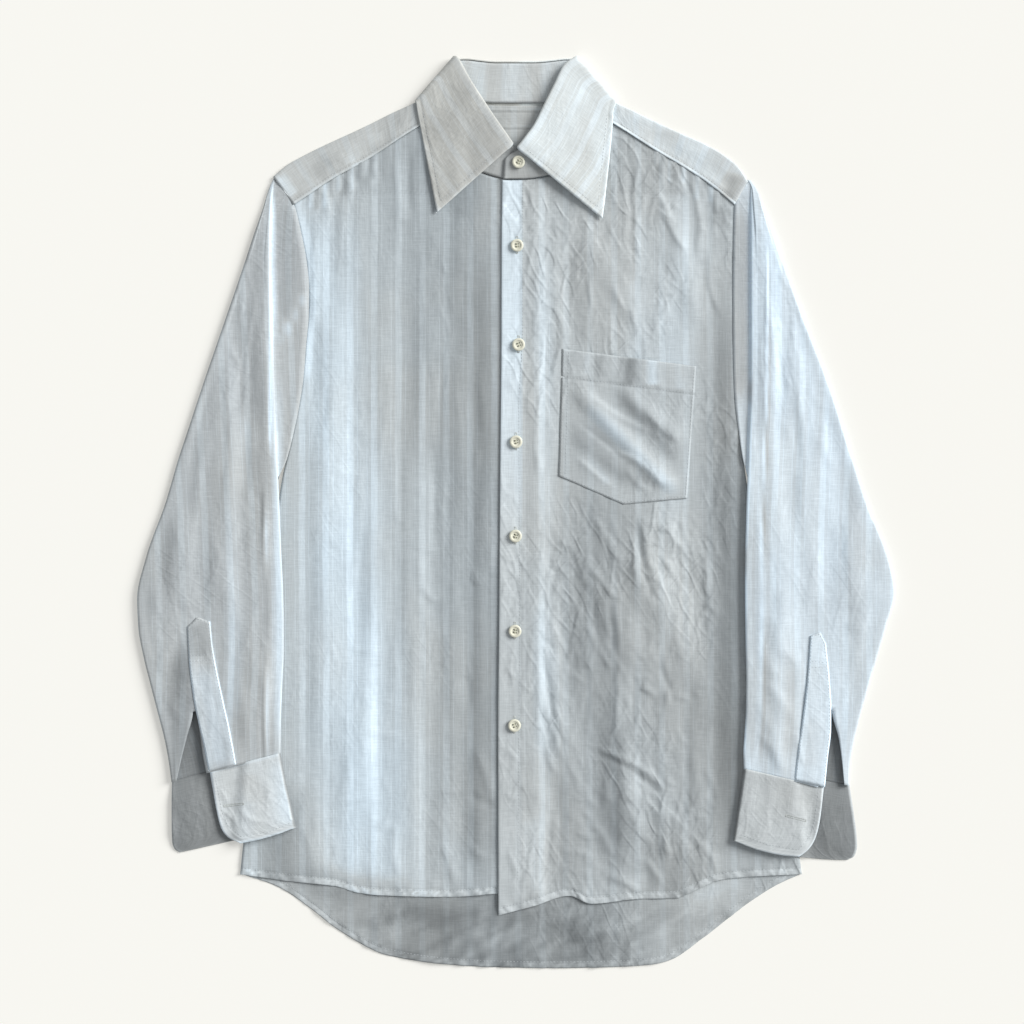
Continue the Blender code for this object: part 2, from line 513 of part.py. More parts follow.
def section_net(table, side):
    """A sleeve's net: each row runs from the front seam over the top and round to the back."""
    sign = -1 if side == "LEFT" else 1
    rows = []
    for cut in sections(table):
        inner = np.array([sign * cut.inner_x, cut.inner_y])
        outer = np.array([sign * cut.outer_x, cut.outer_y])
        wide = np.linalg.norm(outer - inner)
        way = (outer - inner) / wide
        seam_way = np.array([sign, 0.0])
        puff = PUFF * cut.puff
        edge = CLOTH / 2
        seam = cut.inner_x - armhole_x(cut.inner_y, side) - GAP
        tucked = seam < 1
        turn = puff / 2
        start, step = edge, puff - LAYER
        if tucked:
            front = [(2.6, LAYER), (1.9, LAYER + 0.06), (1.2, LAYER + 0.3)]
        else:
            front = [(-seam, LAYER), (-0.45 * seam, LAYER), (start - 0.9, LAYER + 0.05)]
        front += [(start + 0.05, LAYER + 0.26 * step), (start, LAYER + 0.62 * step),
                  (start + 0.9, LAYER + 0.94 * step)]
        slit_in, slit_out = cut.slit_in * wide, cut.slit_out * wide
        far = wide - edge - turn
        first = start + min(3.0, 0.25 * slit_in)
        top = [(first + (slit_in - first) * share, puff) for share in (0, 0.18, 0.38, 0.58, 0.8, 1)]
        top += [(slit_out, puff), ((slit_out + far) / 2, puff), (far, puff)]
        bend = [(far + turn * np.cos(a), turn + turn * np.sin(a)) for a in np.radians(
            (52, 18, -18, -52))]
        last = start + 1.2 if tucked else -seam
        body = side_x(cut.inner_y, side) + BESIDE - cut.inner_x
        over = np.clip(body, last + 3, far - 0.3 * (far - last))
        foot = body + RAMP - BESIDE
        beside = np.clip(foot, last + 0.4 * (far - last), far - 0.15 * (far - last))
        under = [(q, 0.0) for q in (far, beside, over, last)]
        points = front + top + bend + under
        place = np.array([inner + (way if q > 0 else seam_way) * q for q, _ in points])
        high = np.array([h for _, h in points])
        upper = np.arange(len(points)) < len(front) + len(top)
        flap = np.arange(len(points)) <= SLIT_COLUMN
        place[:, 1] -= cut.drop * flap * np.clip([q / slit_in for q, _ in points], 0, 1)
        base = np.where(upper, rest_z(place[:, 0], place[:, 1], side, SLEEVE_RAMP),
                        rest_z(place[:, 0], place[:, 1], side)) + CLOTH / 2
        crown = ridges(np.abs(place[:, 0]), place[:, 1], SLEEVE_FOLDS)
        inside = np.zeros(len(points))
        inside[len(front) + 1:len(front) + len(top) - 1] = 1
        rows.append(np.concatenate([place, (base + high + crown * inside)[:, None]], axis=1))
    return np.array(rows)


SLIT_COLUMN = 11  # the strip of faces between the slit's two edges
SLIT_ROW = 18  # the first section whose faces below are open


def sleeve_top(x, y, side):
    """Height of the middle of a sleeve's upper layer."""
    table = LEFT_SLEEVE if side == "LEFT" else RIGHT_SLEEVE
    share = smooth([-cut.inner_y for cut in table], [cut.puff for cut in table], -np.asarray(y))
    return (rest_z(x, y, side, SLEEVE_RAMP) + CLOTH / 2 + PUFF * share
            + ridges(np.abs(x), y, SLEEVE_FOLDS))


def sleeve(side, material, collection):
    """A one-piece sleeve, open along its slit and at the armhole, with its slit binding."""
    table = LEFT_SLEEVE if side == "LEFT" else RIGHT_SLEEVE
    worn = "right" if side == "LEFT" else "left"
    cloth("sleeve_" + worn, [section_net(table, side)], CLOTH, material, collection,
          missing=lambda row, column: column == SLIT_COLUMN and row >= SLIT_ROW)

    strip = LEFT_GAUNTLET if side == "LEFT" else RIGHT_GAUNTLET
    sign = -1 if side == "LEFT" else 1
    point = GAUNTLET_POINT[side]
    rows = []
    for k, row in enumerate(strip):
        outer = np.array([sign * row.outer_x, row.outer_y])
        inner = np.array([sign * row.inner_x, row.inner_y])
        middle = np.array([point.x, point.y]) if k == 0 else (outer + inner) / 2
        plan = np.array([outer, (outer + middle) / 2, middle, (middle + inner) / 2, inner])
        rows.append(flat_net(plan, sleeve_top(plan[:, 0], plan[:, 1], side) + LAYER + SPARE))
    cloth("gauntlet_" + worn, [np.array(rows)], CLOTH, material, collection)


# A cuff's columns from its fold: the farthest shares at which it comes off the body and is down
# beside it, and the shares of what is left
CUFF_SHARES = {"over": 0.62, "beside": 0.78, "rest": (0.4, 0.75, 1.0)}


def cuff(side, material, collection):
    """A double band folded at the sleeve's inner side, with two free rounded ends."""
    table = LEFT_CUFF if side == "LEFT" else RIGHT_CUFF
    worn = "right" if side == "LEFT" else "left"
    sign = -1 if side == "LEFT" else 1
    turn = CUFF_PUFF / 2
    rows = []
    for band in table:
        flap = np.array([sign * band.flap_x, band.flap_y])
        fold = np.array([sign * band.fold_x, band.fold_y])
        end = np.array([sign * band.end_x, band.end_y])
        place, high = [], []
        for ends, level, bow in ((flap, CUFF_PUFF, 0), (end, 0.0, 1)):
            way = (ends - fold) / np.linalg.norm(ends - fold)
            hinge = fold + way * (turn + DOUBLE / 2)
            drop = CUFF_BOW[side][bow] * band.down ** 3
            across = abs(ends[0] - hinge[0])
            body = side_x(hinge[1], side) - abs(hinge[0])
            over = min(abs(body + BESIDE) / across, CUFF_SHARES["over"])
            beside = min((RAMP + abs(body)) / across, CUFF_SHARES["beside"])
            rest = 1 - beside
            shares = (0, over / 2, over, beside, *(beside + s * rest for s in CUFF_SHARES["rest"]))
            run = [hinge + (ends - hinge) * s - np.array([0, drop * 4 * s * (1 - s)])
                   for s in shares]
            bend = [hinge - way * turn * np.sin(a) for a in np.radians((45, 90))]
            heights = [level] * len(run)
            if bow == 0:
                place += run[::-1] + bend
                high += heights + [turn + turn * np.cos(a) for a in np.radians((45, 90))]
            else:
                place += [bend[0]] + run
                high += [turn - turn * np.cos(np.radians(45))] + heights
        place = np.array(place)
        place[:, 1] -= GAP
        base = rest_z(place[:, 0], place[:, 1], side) + DOUBLE / 2
        rows.append(np.concatenate([place, (base + np.array(high))[:, None]], axis=1))
    cloth("cuff_" + worn, [np.array(rows)], DOUBLE, material, collection)


STAND_SHARES = (0, 0.35, 0.7, 1)
LEAF_SHARES = (0.1, 0.25, 0.45, 0.7, 1)
# Stations behind the neck, for both sides, where the stand and the leaf lie flat
BackStation = namedtuple("BackStation", "seam_x seam_y roll_x roll_y edge_x edge_y")
BACK_COLLAR = [BackStation(*row) for row in (
    (56, 374.0, 45, 405.8, 76, 356), (42, 370.0, 34, 404.6, 58, 351.5),
    (20, 367.9, 17, 403.2, 28, 350))]


def collar(material, collection):
    """The stand round the neck and the leaf folded over it, each a loft from front to front."""
    lower = DOUBLE / 2  # the leaf's back lies on the table, the stand's back lies on it
    stand_z = lower + DOUBLE + GAP
    stand, leaf = [], []
    for table, sign, ends in ((LEFT_COLLAR, -1, UNDER_STAND), (RIGHT_COLLAR, 1, OVER_STAND)):
        half_stand, half_leaf = [], []
        for end in ends:
            seam = np.array([end.seam_x, end.seam_y, end.seam_z])
            top = np.array([end.top_x, end.top_y, end.top_z])
            half_stand.append([seam + (top - seam) * s for s in STAND_SHARES])

        def add(seam, roll, edge, out, roll_r):
            lengthwise = (roll - seam) / np.linalg.norm(roll - seam)
            run = [seam + (roll - seam) * s for s in STAND_SHARES]
            half_stand.append(run)
            over = [roll + lengthwise * (GAP + 2 * SPARE + roll_r * np.sin(a))
                    + out * (roll_r - roll_r * np.cos(a)) for a in np.radians((0, 45, 90, 135, 180))]
            end = over[-1]
            fall = []
            for s in LEAF_SHARES:
                point = end + (edge - end) * s
                point[2] = edge[2] + (end[2] - edge[2]) * (1 - s) ** 1.15
                fall.append(point)
            half_leaf.append(over + fall)

        for row in table:
            seam = np.array([row.seam_x, row.seam_y, row.seam_z])
            roll = np.array([row.roll_x, row.roll_y, row.roll_z])
            edge = np.array([row.edge_x, row.edge_y, row.edge_z])
            add(seam, roll, edge, np.array([0, 0, 1.0]), LEAF_ROLL)
        for turn in np.radians((0, 35, 70, 110, 145, 180)):
            spot = {}
            for line, bend in COLLAR_BENDS.items():
                spot[line] = np.array([
                    sign * (bend.x + bend.radius * np.sin(turn) * bend.way_x),
                    bend.y + bend.radius * np.sin(turn) * bend.way_y,
                    bend.low + bend.radius * (1 + np.cos(turn))])
            out = np.array([sign * np.sin(turn), 0, np.cos(turn)])
            flat = (1 - np.cos(turn)) / 2
            add(spot["seam"], spot["roll"], spot["edge"], out,
                LEAF_ROLL + (BACK_ROLL - LEAF_ROLL) * flat)
        for row in BACK_COLLAR:
            add(np.array([sign * row.seam_x, row.seam_y, stand_z]),
                np.array([sign * row.roll_x, row.roll_y, stand_z]),
                np.array([sign * row.edge_x, row.edge_y, lower]), np.array([0, 0, -1.0]), BACK_ROLL)
        if sign > 0:
            half_stand.reverse()
            half_leaf.reverse()
        stand += half_stand
        leaf += half_leaf
    cloth("collar_stand", [np.array(stand)], DOUBLE, material, collection)
    cloth("collar_leaf", [np.array(leaf)], DOUBLE, material, collection)


POCKET_HELD = 0.14  # share of the pocket beside its sewn sides that stays flat
POCKET_GAPE = 1.2  # how far the middle of its mouth stands open
POCKET_MOUTH = 0.2  # share of its height over which it closes
POCKET_TOP = (Outline(41.4, 146.7), Outline(162, 131))
POCKET_FOOT = (Outline(38.3, 32.4), Outline(96.3, 6.9), Outline(153.9, 12.2))
POCKET_FOLDS = [Fold(*row) for row in (
    (44, 128, 122, 88, 2.2, 9), (44, 98, 112, 58, 2.6, 8), (52, 70, 104, 30, 2.0, 8),
    (92, 74, 146, 40, 1.6, 9))]


def pocket(material, collection):
    """The patch pocket, sewn down on three sides, with its diagonal folds."""
    s = np.linspace(0, 1, 11)
    top = np.array([(POCKET_TOP[0].x + (POCKET_TOP[1].x - POCKET_TOP[0].x) * t,
                     POCKET_TOP[0].y + (POCKET_TOP[1].y - POCKET_TOP[0].y) * t) for t in s])
    knee = [(row.x, row.y) for row in POCKET_FOOT]
    foot = np.stack([np.interp(s, (0, 0.5, 1), [p[k] for p in knee]) for k in (0, 1)], -1)
    t = np.linspace(0, 1, 10)[:, None, None]
    plan = top[None] * (1 - t) + foot[None] * t
    across, down = np.meshgrid(s, np.linspace(0, 1, 10))
    held = (step_up(across / POCKET_HELD) * step_up((1 - across) / POCKET_HELD)
            * step_up((1 - down) / POCKET_HELD))
    gape = POCKET_GAPE * (1 - step_up(down / POCKET_MOUTH)) * np.sin(np.pi * across) ** 0.8
    high = over_front(plan[..., 0], plan[..., 1]) + LAYER + gape
    high = high + held * ridges(plan[..., 0], plan[..., 1], POCKET_FOLDS)
    cloth("pocket", [flat_net(plan, high)], CLOTH, material, collection)


# Buttons on the closing edge, from the collar down
BUTTONS = [Outline(*row) for row in (
    (0.9, 239.4), (2.3, 150.3), (0, 63), (-0.5, -21.6), (-0.9, -107), (-1.4, -191.7))]
COLLAR_BUTTON = Outline(2.2, 314)
COLLAR_BUTTON_Z = 7.4
Turned = namedtuple("Turned", "radius height")
BUTTON_PROFILE = [Turned(*row) for row in (
    (0.0, 0.62), (0.56, 0.62), (0.70, 1.0), (0.88, 1.0), (1.0, 0.55), (0.80, 0.0), (0.0, 0.0))]


def button(name, x, y, bottom, face, material, collection):
    """A turned button with a raised rim and a dished middle; face is 1 up or -1 down."""
    mesh = bpy.data.meshes.new(name)
    bm = bmesh.new()
    points = [bm.verts.new((row.radius * BUTTON_WIDE / 2 * MM, 0, row.height * BUTTON_THICK * MM))
              for row in BUTTON_PROFILE]
    for first, second in zip(points, points[1:]):
        bm.edges.new((first, second))
    bm.to_mesh(mesh)
    bm.free()
    piece = bpy.data.objects.new(name, mesh)
    collection.objects.link(piece)
    mesh.materials.append(material)
    piece.location = (x * MM, y * MM, (bottom if face > 0 else bottom + BUTTON_THICK) * MM)
    if face < 0:
        piece.rotation_euler = (np.pi, 0, 0)
    turn = piece.modifiers.new("Turned", "SCREW")
    turn.steps = turn.render_steps = BUTTON_STEPS
    turn.use_merge_vertices = True
    turn.merge_threshold = 0.00001
    turn.use_smooth_shade = True
    return piece


def clear_scene():
    for thing in list(bpy.data.objects):
        bpy.data.objects.remove(thing, do_unlink=True)


def main():
    clear_scene()
    shirt = bpy.data.collections.new("linen_shirt")
    bpy.context.scene.collection.children.link(shirt)
    linen = finish("pale_linen", (0.72, 0.76, 0.80), 0.85)
    doubled = finish("doubled_linen", (0.80, 0.83, 0.85), 0.8)
    ivory = finish("ivory_button", (0.82, 0.80, 0.70), 0.35)
    body_panels(linen, shirt)
    yoke(linen, shirt)
    for side in ("LEFT", "RIGHT"):
        sleeve(side, linen, shirt)
        cuff(side, doubled, shirt)
    collar(doubled, shirt)
    pocket(linen, shirt)
    for number, spot in enumerate(BUTTONS, 1):
        top = float(over_front(spot.x, spot.y)) + CLOTH / 2 + GAP
        button("button_%d" % number, spot.x, spot.y, top, 1, ivory, shirt)
    button("button_collar", COLLAR_BUTTON.x, COLLAR_BUTTON.y, COLLAR_BUTTON_Z, 1, ivory, shirt)
    for side, spot in CUFF_BUTTONS.items():
        worn = "right" if side == "LEFT" else "left"
        button("button_cuff_" + worn, spot.x, spot.y, 0.0, -1, ivory, shirt)


main()
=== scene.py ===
import bmesh
import bpy
import numpy as np
from mathutils import Matrix, Vector
from mathutils.bvhtree import BVHTree


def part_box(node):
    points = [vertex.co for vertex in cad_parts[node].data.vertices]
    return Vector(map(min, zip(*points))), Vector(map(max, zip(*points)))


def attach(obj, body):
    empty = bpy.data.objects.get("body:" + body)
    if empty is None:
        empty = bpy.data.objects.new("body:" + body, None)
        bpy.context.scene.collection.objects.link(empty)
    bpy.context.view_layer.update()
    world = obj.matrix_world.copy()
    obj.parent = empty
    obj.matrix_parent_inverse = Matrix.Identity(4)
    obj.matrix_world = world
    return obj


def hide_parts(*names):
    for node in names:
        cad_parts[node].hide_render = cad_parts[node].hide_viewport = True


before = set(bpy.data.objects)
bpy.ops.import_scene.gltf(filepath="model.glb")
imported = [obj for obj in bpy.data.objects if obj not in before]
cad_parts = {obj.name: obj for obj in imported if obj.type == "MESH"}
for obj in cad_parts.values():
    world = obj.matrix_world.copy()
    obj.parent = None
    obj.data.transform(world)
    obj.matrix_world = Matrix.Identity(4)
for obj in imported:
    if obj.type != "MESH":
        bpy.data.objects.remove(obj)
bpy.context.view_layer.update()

mm = 0.001  # the tables are in millimetres, X to the viewer's right, Y to the collar
left, right = -1, 1  # the viewer's sides
viewed = {left: "left", right: "right"}
worn = {left: "right", right: "left"}  # the same sides to the wearer

# Middles of the layers above the table, what parts them, and the real cloth's thickness
heights = {
    "wall": 1.2, "doubleWall": 1.6, "gap": 0.3, "spare": 0.25, "step": 1.5, "back": 0.6,
    "front": 2.1, "bodyTop": 3.0, "puff": 4.6, "cuffPuff": 4.2, "shoulderPuff": 2.6,
    "yokeLift": 1.9, "neckSpare": 0.5, "cloth": 0.45, "doubleCloth": 0.9, "clear": 0.05}

body = {
    # bands of painted light and shade on the back's tail: X and Y of both ends, strength and half width
    "tailPaintedShading": [(-120, -352, -36, -374, -0.16, 9), (-40, -392, 30, -372, 0.16, 7),
                  (10, -360, 92, -394, -0.14, 10),
                  (60, -378, 112, -362, 0.14, 7), (150, -352, 206, -330, 0.22, 12),
                  (-150, -346, -96, -384, 0.08, 8), (-196, -338, -104, -366, -0.16, 9),
                  (-210, -330, -120, -346, -0.16, 8), (104, -398, 150, -366, 0.12, 8)],
    "leftSide": [(-200.5, 277), (-193.5, 250), (-188, 218), (-186.3, 190), (-189, 155),
                 (-192, 117.5), (-198, 83), (-211.5, 22.5), (-229, -140), (-248, -325)],
    "rightSide": [(197, 277), (196.2, 250), (195.6, 218), (195.4, 190), (195.8, 155),
                  (196.5, 112), (199.5, 83), (208, 22.5), (231, -140), (257, -325)],
    "leftYokeSeam": [(-200.5, 277), (-186, 286.5), (-166, 300), (-137.7, 315.5), (-90, 345.6),
                     (-72, 356)],
    "rightYokeSeam": [(197, 277), (179, 292), (158, 306.6), (118.8, 330), (87.3, 349.7),
                      (74, 357)],
    "leftNeck": [(-72, 356), (-69, 340), (-56, 320), (-34, 306), (-10, 299.5), (15, 298.5)],
    "rightNeck": [(74, 357), (70, 338), (57, 318), (34, 304), (12, 299), (-11.7, 298.5)],
    "leftHem": [(-248, -325), (-206, -331), (-163, -335.7), (-142, -341.7), (-120, -344),
                (-60, -345.6), (-18.5, -342.6), (15, -341)],
    "rightHem": [(257, -325), (209, -327.4), (184.5, -330), (158, -341), (144, -346.5),
                 (108, -347.4), (68, -351.5), (48, -344.5), (15.8, -353.5), (-15.3, -361.6)],
    "tailHem": [(-248, -325), (-215, -336.6), (-180, -360), (-163, -373.5), (-132, -392),
                (-118, -398), (-68, -406), (-25, -409), (38, -410), (88, -409), (120, -407),
                (138, -403), (168, -383), (209, -351.5), (235, -335), (257, -325)],
    "overEdge": [(-11.7, 298.5), (-12.4, 239), (-12.6, 150), (-13.4, 63), (-14.2, -22),
                 (-14.8, -107), (-15.6, -192), (-15.3, -361.6)],
    "leftShoulder": [(-218.7, 301.5), (-211, 309), (-181, 325.8), (-138.6, 345.6), (-109, 360),
                     (-91, 368), (-68, 379)],
    "rightShoulder": [(208.8, 297.5), (202, 308.5), (180, 325.8), (137.7, 345.6), (107, 360),
                      (89, 368.5), (68, 379)],
    "backNeck": [(-68, 379), (-50, 371.5), (-30, 367.6), (0, 366.8), (33, 367.4), (52, 371.5),
                 (68, 379)],
    "underEdge": 15.0, "backSeam": 262.0, "top": 277.0, "sideFoot": -325.0,
    "ramp": 14.0, "sleeveRamp": 60.0, "beside": 2.0, "underarm": 78.0, "onBody": 36.0,
    "spacing": 2.4, "closeSpacing": 2.0, "seenSeam": 287.5, "hemWide": 5.2}


def curve(keys, values, at):
    # through the rows without swinging past them
    keys, values, at = (np.asarray(a, float) for a in (keys, values, at))
    step = np.maximum(np.diff(keys), 1e-9)
    slope = np.diff(values) / step
    lean = np.zeros(len(keys))
    lean[0], lean[-1] = slope[0], slope[-1]
    same = slope[:-1] * slope[1:] > 0
    lean[1:-1] = np.where(same, 2 * slope[:-1] * slope[1:] / np.where(same, slope[:-1] + slope[1:], 1), 0)
    i = np.clip(np.searchsorted(keys, at, side="right") - 1, 0, len(step) - 1)
    t = np.clip((at - keys[i]) / step[i], 0, 1)
    rise = (3 - 2 * t) * t * t
    return (values[i] * (1 - rise) + values[i + 1] * rise
            + step[i] * (lean[i] * t * (1 - t) ** 2 - lean[i + 1] * t * t * (1 - t)))


def chord(points):
    # length along a line of points up to each of them
    step = np.linalg.norm(np.diff(points[:, :3], axis=0), axis=1)
    return np.concatenate([[0], np.cumsum(np.maximum(step, 1e-6))])


def edgePoints(rows, shares):
    points = np.array(rows, float)
    length = chord(points)
    return np.stack([curve(length, points[:, k], np.asarray(shares) * length[-1])
                     for k in range(points.shape[1])], axis=-1)


def softStep(t):
    t = np.clip(t, 0, 1)
    return t * t * (3 - 2 * t)


def bell(off, wide):
    # 1 on a line, falling softly to 0 away from it
    return np.exp(-((off / wide) ** 2))


def withHeight(plan, high):
    return np.concatenate([plan, high[..., None]], axis=-1)


def placesOf(net):
    return net[..., 0], net[..., 1]


def softNoise(x, y, size, seed):
    # smooth lumps from -1 to 1, size is one lump across and along
    spots = np.random.default_rng(seed).uniform(-1, 1, (89, 89))
    u, v = np.asarray(x) / size[0] + 40.3, np.asarray(y) / size[1] + 40.7
    i, j = np.floor(u).astype(int), np.floor(v).astype(int)
    s, t = softStep(u - i), softStep(v - j)
    near = spots[i % 89, j % 89] * (1 - s) + spots[(i + 1) % 89, j % 89] * s
    far = spots[i % 89, (j + 1) % 89] * (1 - s) + spots[(i + 1) % 89, (j + 1) % 89] * s
    return near * (1 - t) + far * t


def creaseWeb(x, y, size, turn, seed):
    # fine crease lines, which run where smooth lumps change sign: 1 on a line, 0 away from it
    c, s = np.cos(np.radians(turn)), np.sin(np.radians(turn))
    u, v = x * c + y * s, y * c - x * s
    lumps = softNoise(u, v, size, seed)
    lumps = lumps + 0.5 * softNoise(u, v, (size[0] * 0.45, size[1] * 0.45), seed + 1)
    patchy = softStep(0.5 + softNoise(u, v, (size[0] * 2.5, size[1] * 2), seed + 2))
    return np.exp(-((lumps * 3.4) ** 2)) * patchy


def foldHeight(x, y, rows):
    # soft ridges: X and Y of the top and the foot, height and half width
    high = np.zeros(np.shape(x))
    for topX, topY, footX, footY, tall, wide in rows:
        run = np.hypot(footX - topX, footY - topY)
        wayX, wayY = (footX - topX) / run, (footY - topY) / run
        on = (x - topX) * wayX + (y - topY) * wayY
        off = (x - topX) * wayY - (y - topY) * wayX
        ends = softStep(on / (0.25 * run)) * softStep((run - on) / (0.15 * run))
        high = high + tall * ends * bell(off, wide)
    return high


def creaseHeight(x, y, rows):
    # sharper creases: X and Y of both ends, height or depth, half width and bow to one side
    high = np.zeros(np.shape(x))
    for n, (startX, startY, endX, endY, tall, wide, bow) in enumerate(rows):
        run = np.hypot(endX - startX, endY - startY)
        wayX, wayY = (endX - startX) / run, (endY - startY) / run
        on = ((x - startX) * wayX + (y - startY) * wayY) / run
        off = (x - startX) * wayY - (y - startY) * wayX
        off = off - bow * 4 * on * (1 - on) - 0.3 * wide * np.sin(on * (5 + n % 4) + n)
        ends = softStep(on / 0.3) * softStep((1 - on) / 0.3)
        steep = np.where(off * (1 if n % 2 else -1) > 0, 0.45, 1.05) * wide
        high = high + 1.25 * tall * ends * np.exp(-np.abs(off / steep) ** 1.5)
    return high


def smallCreases(seed, count, area, turn, most):
    # short uneven creases over an area, given by its X and Y limits, that run roughly one way
    dice = np.random.default_rng(seed)
    rows = []
    for x, y, way, long, tall in dice.uniform(size=(count, 5)):
        x, y = area[0] + (area[1] - area[0]) * x, area[2] + (area[3] - area[2]) * y
        angle = np.radians(turn + 70 * (way - 0.5) + 40 * (way - 0.5) ** 3)
        long = 7 + 24 * long ** 2
        tall = most * (0.35 + 0.65 * tall) * (1 if tall > 0.3 else -1)
        rows.append((x, y, x + long * np.cos(angle), y + long * np.sin(angle), tall, 1.9 + 1.4 * way,
                     long * (way - 0.5) / 4))
    return rows


def sideX(y, side):
    # distance of the body's edge from the middle
    rows = body[viewed[side] + "Side"]
    return curve([-p[1] for p in rows], [abs(p[0]) for p in rows], -np.asarray(y, float))


def armholeX(y, side):
    shoulder = body[viewed[side] + "Shoulder"][0]
    top = body[viewed[side] + "Side"][0]
    share = np.clip((y - top[1]) / (shoulder[1] - top[1]), 0, 1)
    return sideX(np.minimum(y, top[1]), side) + (abs(shoulder[0]) - abs(top[0])) * share


def neckLift(x, y, spare=0.0):
    # rise of the cloth round the neck over the collar's leaf
    start, full = 308 - 16 * spare, 341 - 4 * spare
    across = np.clip((130 + 8 * spare - np.abs(x)) / 30, 0, 1)
    return (heights["yokeLift"] + spare) * softStep((y - start) / (full - start)) * across


cuffButtons = {left: (-298.5, -272.0), right: (294.0, -278.0)}


def restHeight(x, y, side, ramp):
    # top of what a sleeve or cuff lies on: the table, the body or the cuff's own button
    outside = np.abs(x) - sideX(y, side)
    over = softStep((ramp - outside) / (ramp - body["beside"]))
    over = over * softStep((body["underarm"] - y) / (body["underarm"] - body["onBody"]))
    spot = cuffButtons[side]
    lift = softStep((36 - np.hypot(x - spot[0], y - spot[1])) / 20) * 2.7
    return np.maximum(heights["bodyTop"] * over, lift)


def patch(top, foot, first, last, across, down):
    # points between four edges
    u, v = (a[..., None] for a in np.meshgrid(across, down))
    net = (1 - v) * top(across)[None] + v * foot(across)[None]
    net = net + (1 - u) * first(down)[:, None] + u * last(down)[:, None]
    ends = np.array([0.0, 1.0])
    high, low = top(ends), foot(ends)
    net = net - (1 - u) * (1 - v) * high[0] - u * (1 - v) * high[1]
    return net - (1 - u) * v * low[0] - u * v * low[1]


def refine(net, rowSteps, columnSteps):
    # a finer net through the same points, with so many steps in each space
    def finer(points, steps):
        length = chord(points)
        at = [np.linspace(length[i], length[i + 1], n, endpoint=False) for i, n in enumerate(steps)]
        at = np.concatenate(at + [[length[-1]]])
        return np.stack([curve(length, points[:, k], at) for k in range(points.shape[1])], -1)

    wide = np.stack([finer(row, columnSteps) for row in net])
    return np.stack([finer(wide[:, c], rowSteps) for c in range(wide.shape[1])], axis=1)


def evenSteps(net, spacing, least=1):
    # steps for the spaces between the net's rows, by how far apart these are
    apart = np.linalg.norm(np.diff(net[..., :3], axis=0), axis=-1).mean(axis=1)
    return [max(least, int(round(d / spacing))) for d in apart]


def measured(net):
    # the cloth's own measure at each point: across along its row, and down its column
    across = np.linalg.norm(np.diff(net[..., :3], axis=1), axis=-1).cumsum(axis=1)
    down = np.linalg.norm(np.diff(net[..., :3], axis=0), axis=-1).cumsum(axis=0)
    across = np.pad(across, ((0, 0), (1, 0)))
    down = np.pad(down, ((1, 0), (0, 0)))
    return np.stack([across, -down.mean(axis=1, keepdims=True) + 0 * across], axis=-1)


def marked(doubled, tone):
    # what the linen's material reads at each point: doubled cloth, and tone, which is painted light and
    # shade
    return np.stack([doubled + 0 * tone, np.clip(tone, 0, 1) + 0 * doubled], axis=-1)


def toneAt(x, y, base, rows=(), seed=1):
    # painted light and shade: a base level, bands of painted light and shade from the rows, and a little
    # random tone
    return base + 0.72 * foldHeight(x, y, rows) + 0.04 * softNoise(x, y, (14, 70), seed)


def turnUnder(points, flat, marks, under, thick):
    # folds the last row under, as at a hem; under counts the rows that lie beneath
    out = points[-1] - points[-3]
    out[:, 2] = 0
    out = out / np.linalg.norm(out, axis=1)[:, None]
    rows = []
    for turn in np.radians((50, 110, 165)):
        row = points[-1] + out * thick / 2 * np.sin(turn)
        row[:, 2] -= thick / 2 * (1 - np.cos(turn))
        rows.append(row)
    for back in under:
        row = points[-1 - back].copy()
        row[:, 2] -= thick
        rows.append(row)
    step = flat[-1] - flat[-2]
    more = [flat[-1] + step * 0.4 * (n + 1) for n in range(len(rows))]
    return (np.concatenate([points, rows]), np.concatenate([flat, more]),
            np.concatenate([marks, np.repeat(marks[-1:], len(rows), axis=0)]))


def gridNet(bm, net, missing):
    # a grid whose points are moved onto the net, with the cloth's measure as its UV map
    points, flat, marks = net
    rows, columns = points.shape[:2]
    uvMap = bm.loops.layers.uv.verify()
    layers = [bm.verts.layers.float.get(key) or bm.verts.layers.float.new(key)
              for key in ("doubled", "tone")]
    made = bmesh.ops.create_grid(bm, x_segments=columns - 1, y_segments=rows - 1, size=1)
    place = {}
    for vert in made["verts"]:
        place[vert] = (round((1 - vert.co.y) / 2 * (rows - 1)), round((vert.co.x + 1) / 2 * (columns - 1)))
    cut = []
    for face in {face for vert in made["verts"] for face in vert.link_faces}:
        corner = [place[vert] for vert in face.verts]
        if missing and missing(min(r for r, c in corner), min(c for r, c in corner)):
            cut.append(face)
            continue
        for loop in face.loops:
            loop[uvMap].uv = flat[place[loop.vert]] * mm
    for vert, spot in place.items():
        vert.co = points[spot] * mm
        for layer, value in zip(layers, marks[spot]):
            vert[layer] = value
    bmesh.ops.delete(bm, geom=cut, context="FACES")


def meshOf(name, bm):
    mesh = bpy.data.meshes.new(name)
    bm.to_mesh(mesh)
    bm.free()
    return mesh


def linked(name, data):
    item = bpy.data.objects.new(name, data)
    bpy.context.scene.collection.objects.link(item)
    return item


def addPiece(name, bm, finish):
    mesh = meshOf(name, bm)
    if mesh.uv_layers.active:
        mesh.uv_layers.active.name = "cloth"
    mesh.shade_smooth()
    piece = linked(name, mesh)
    mesh.materials.append(finish)
    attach(piece, "root")
    return piece


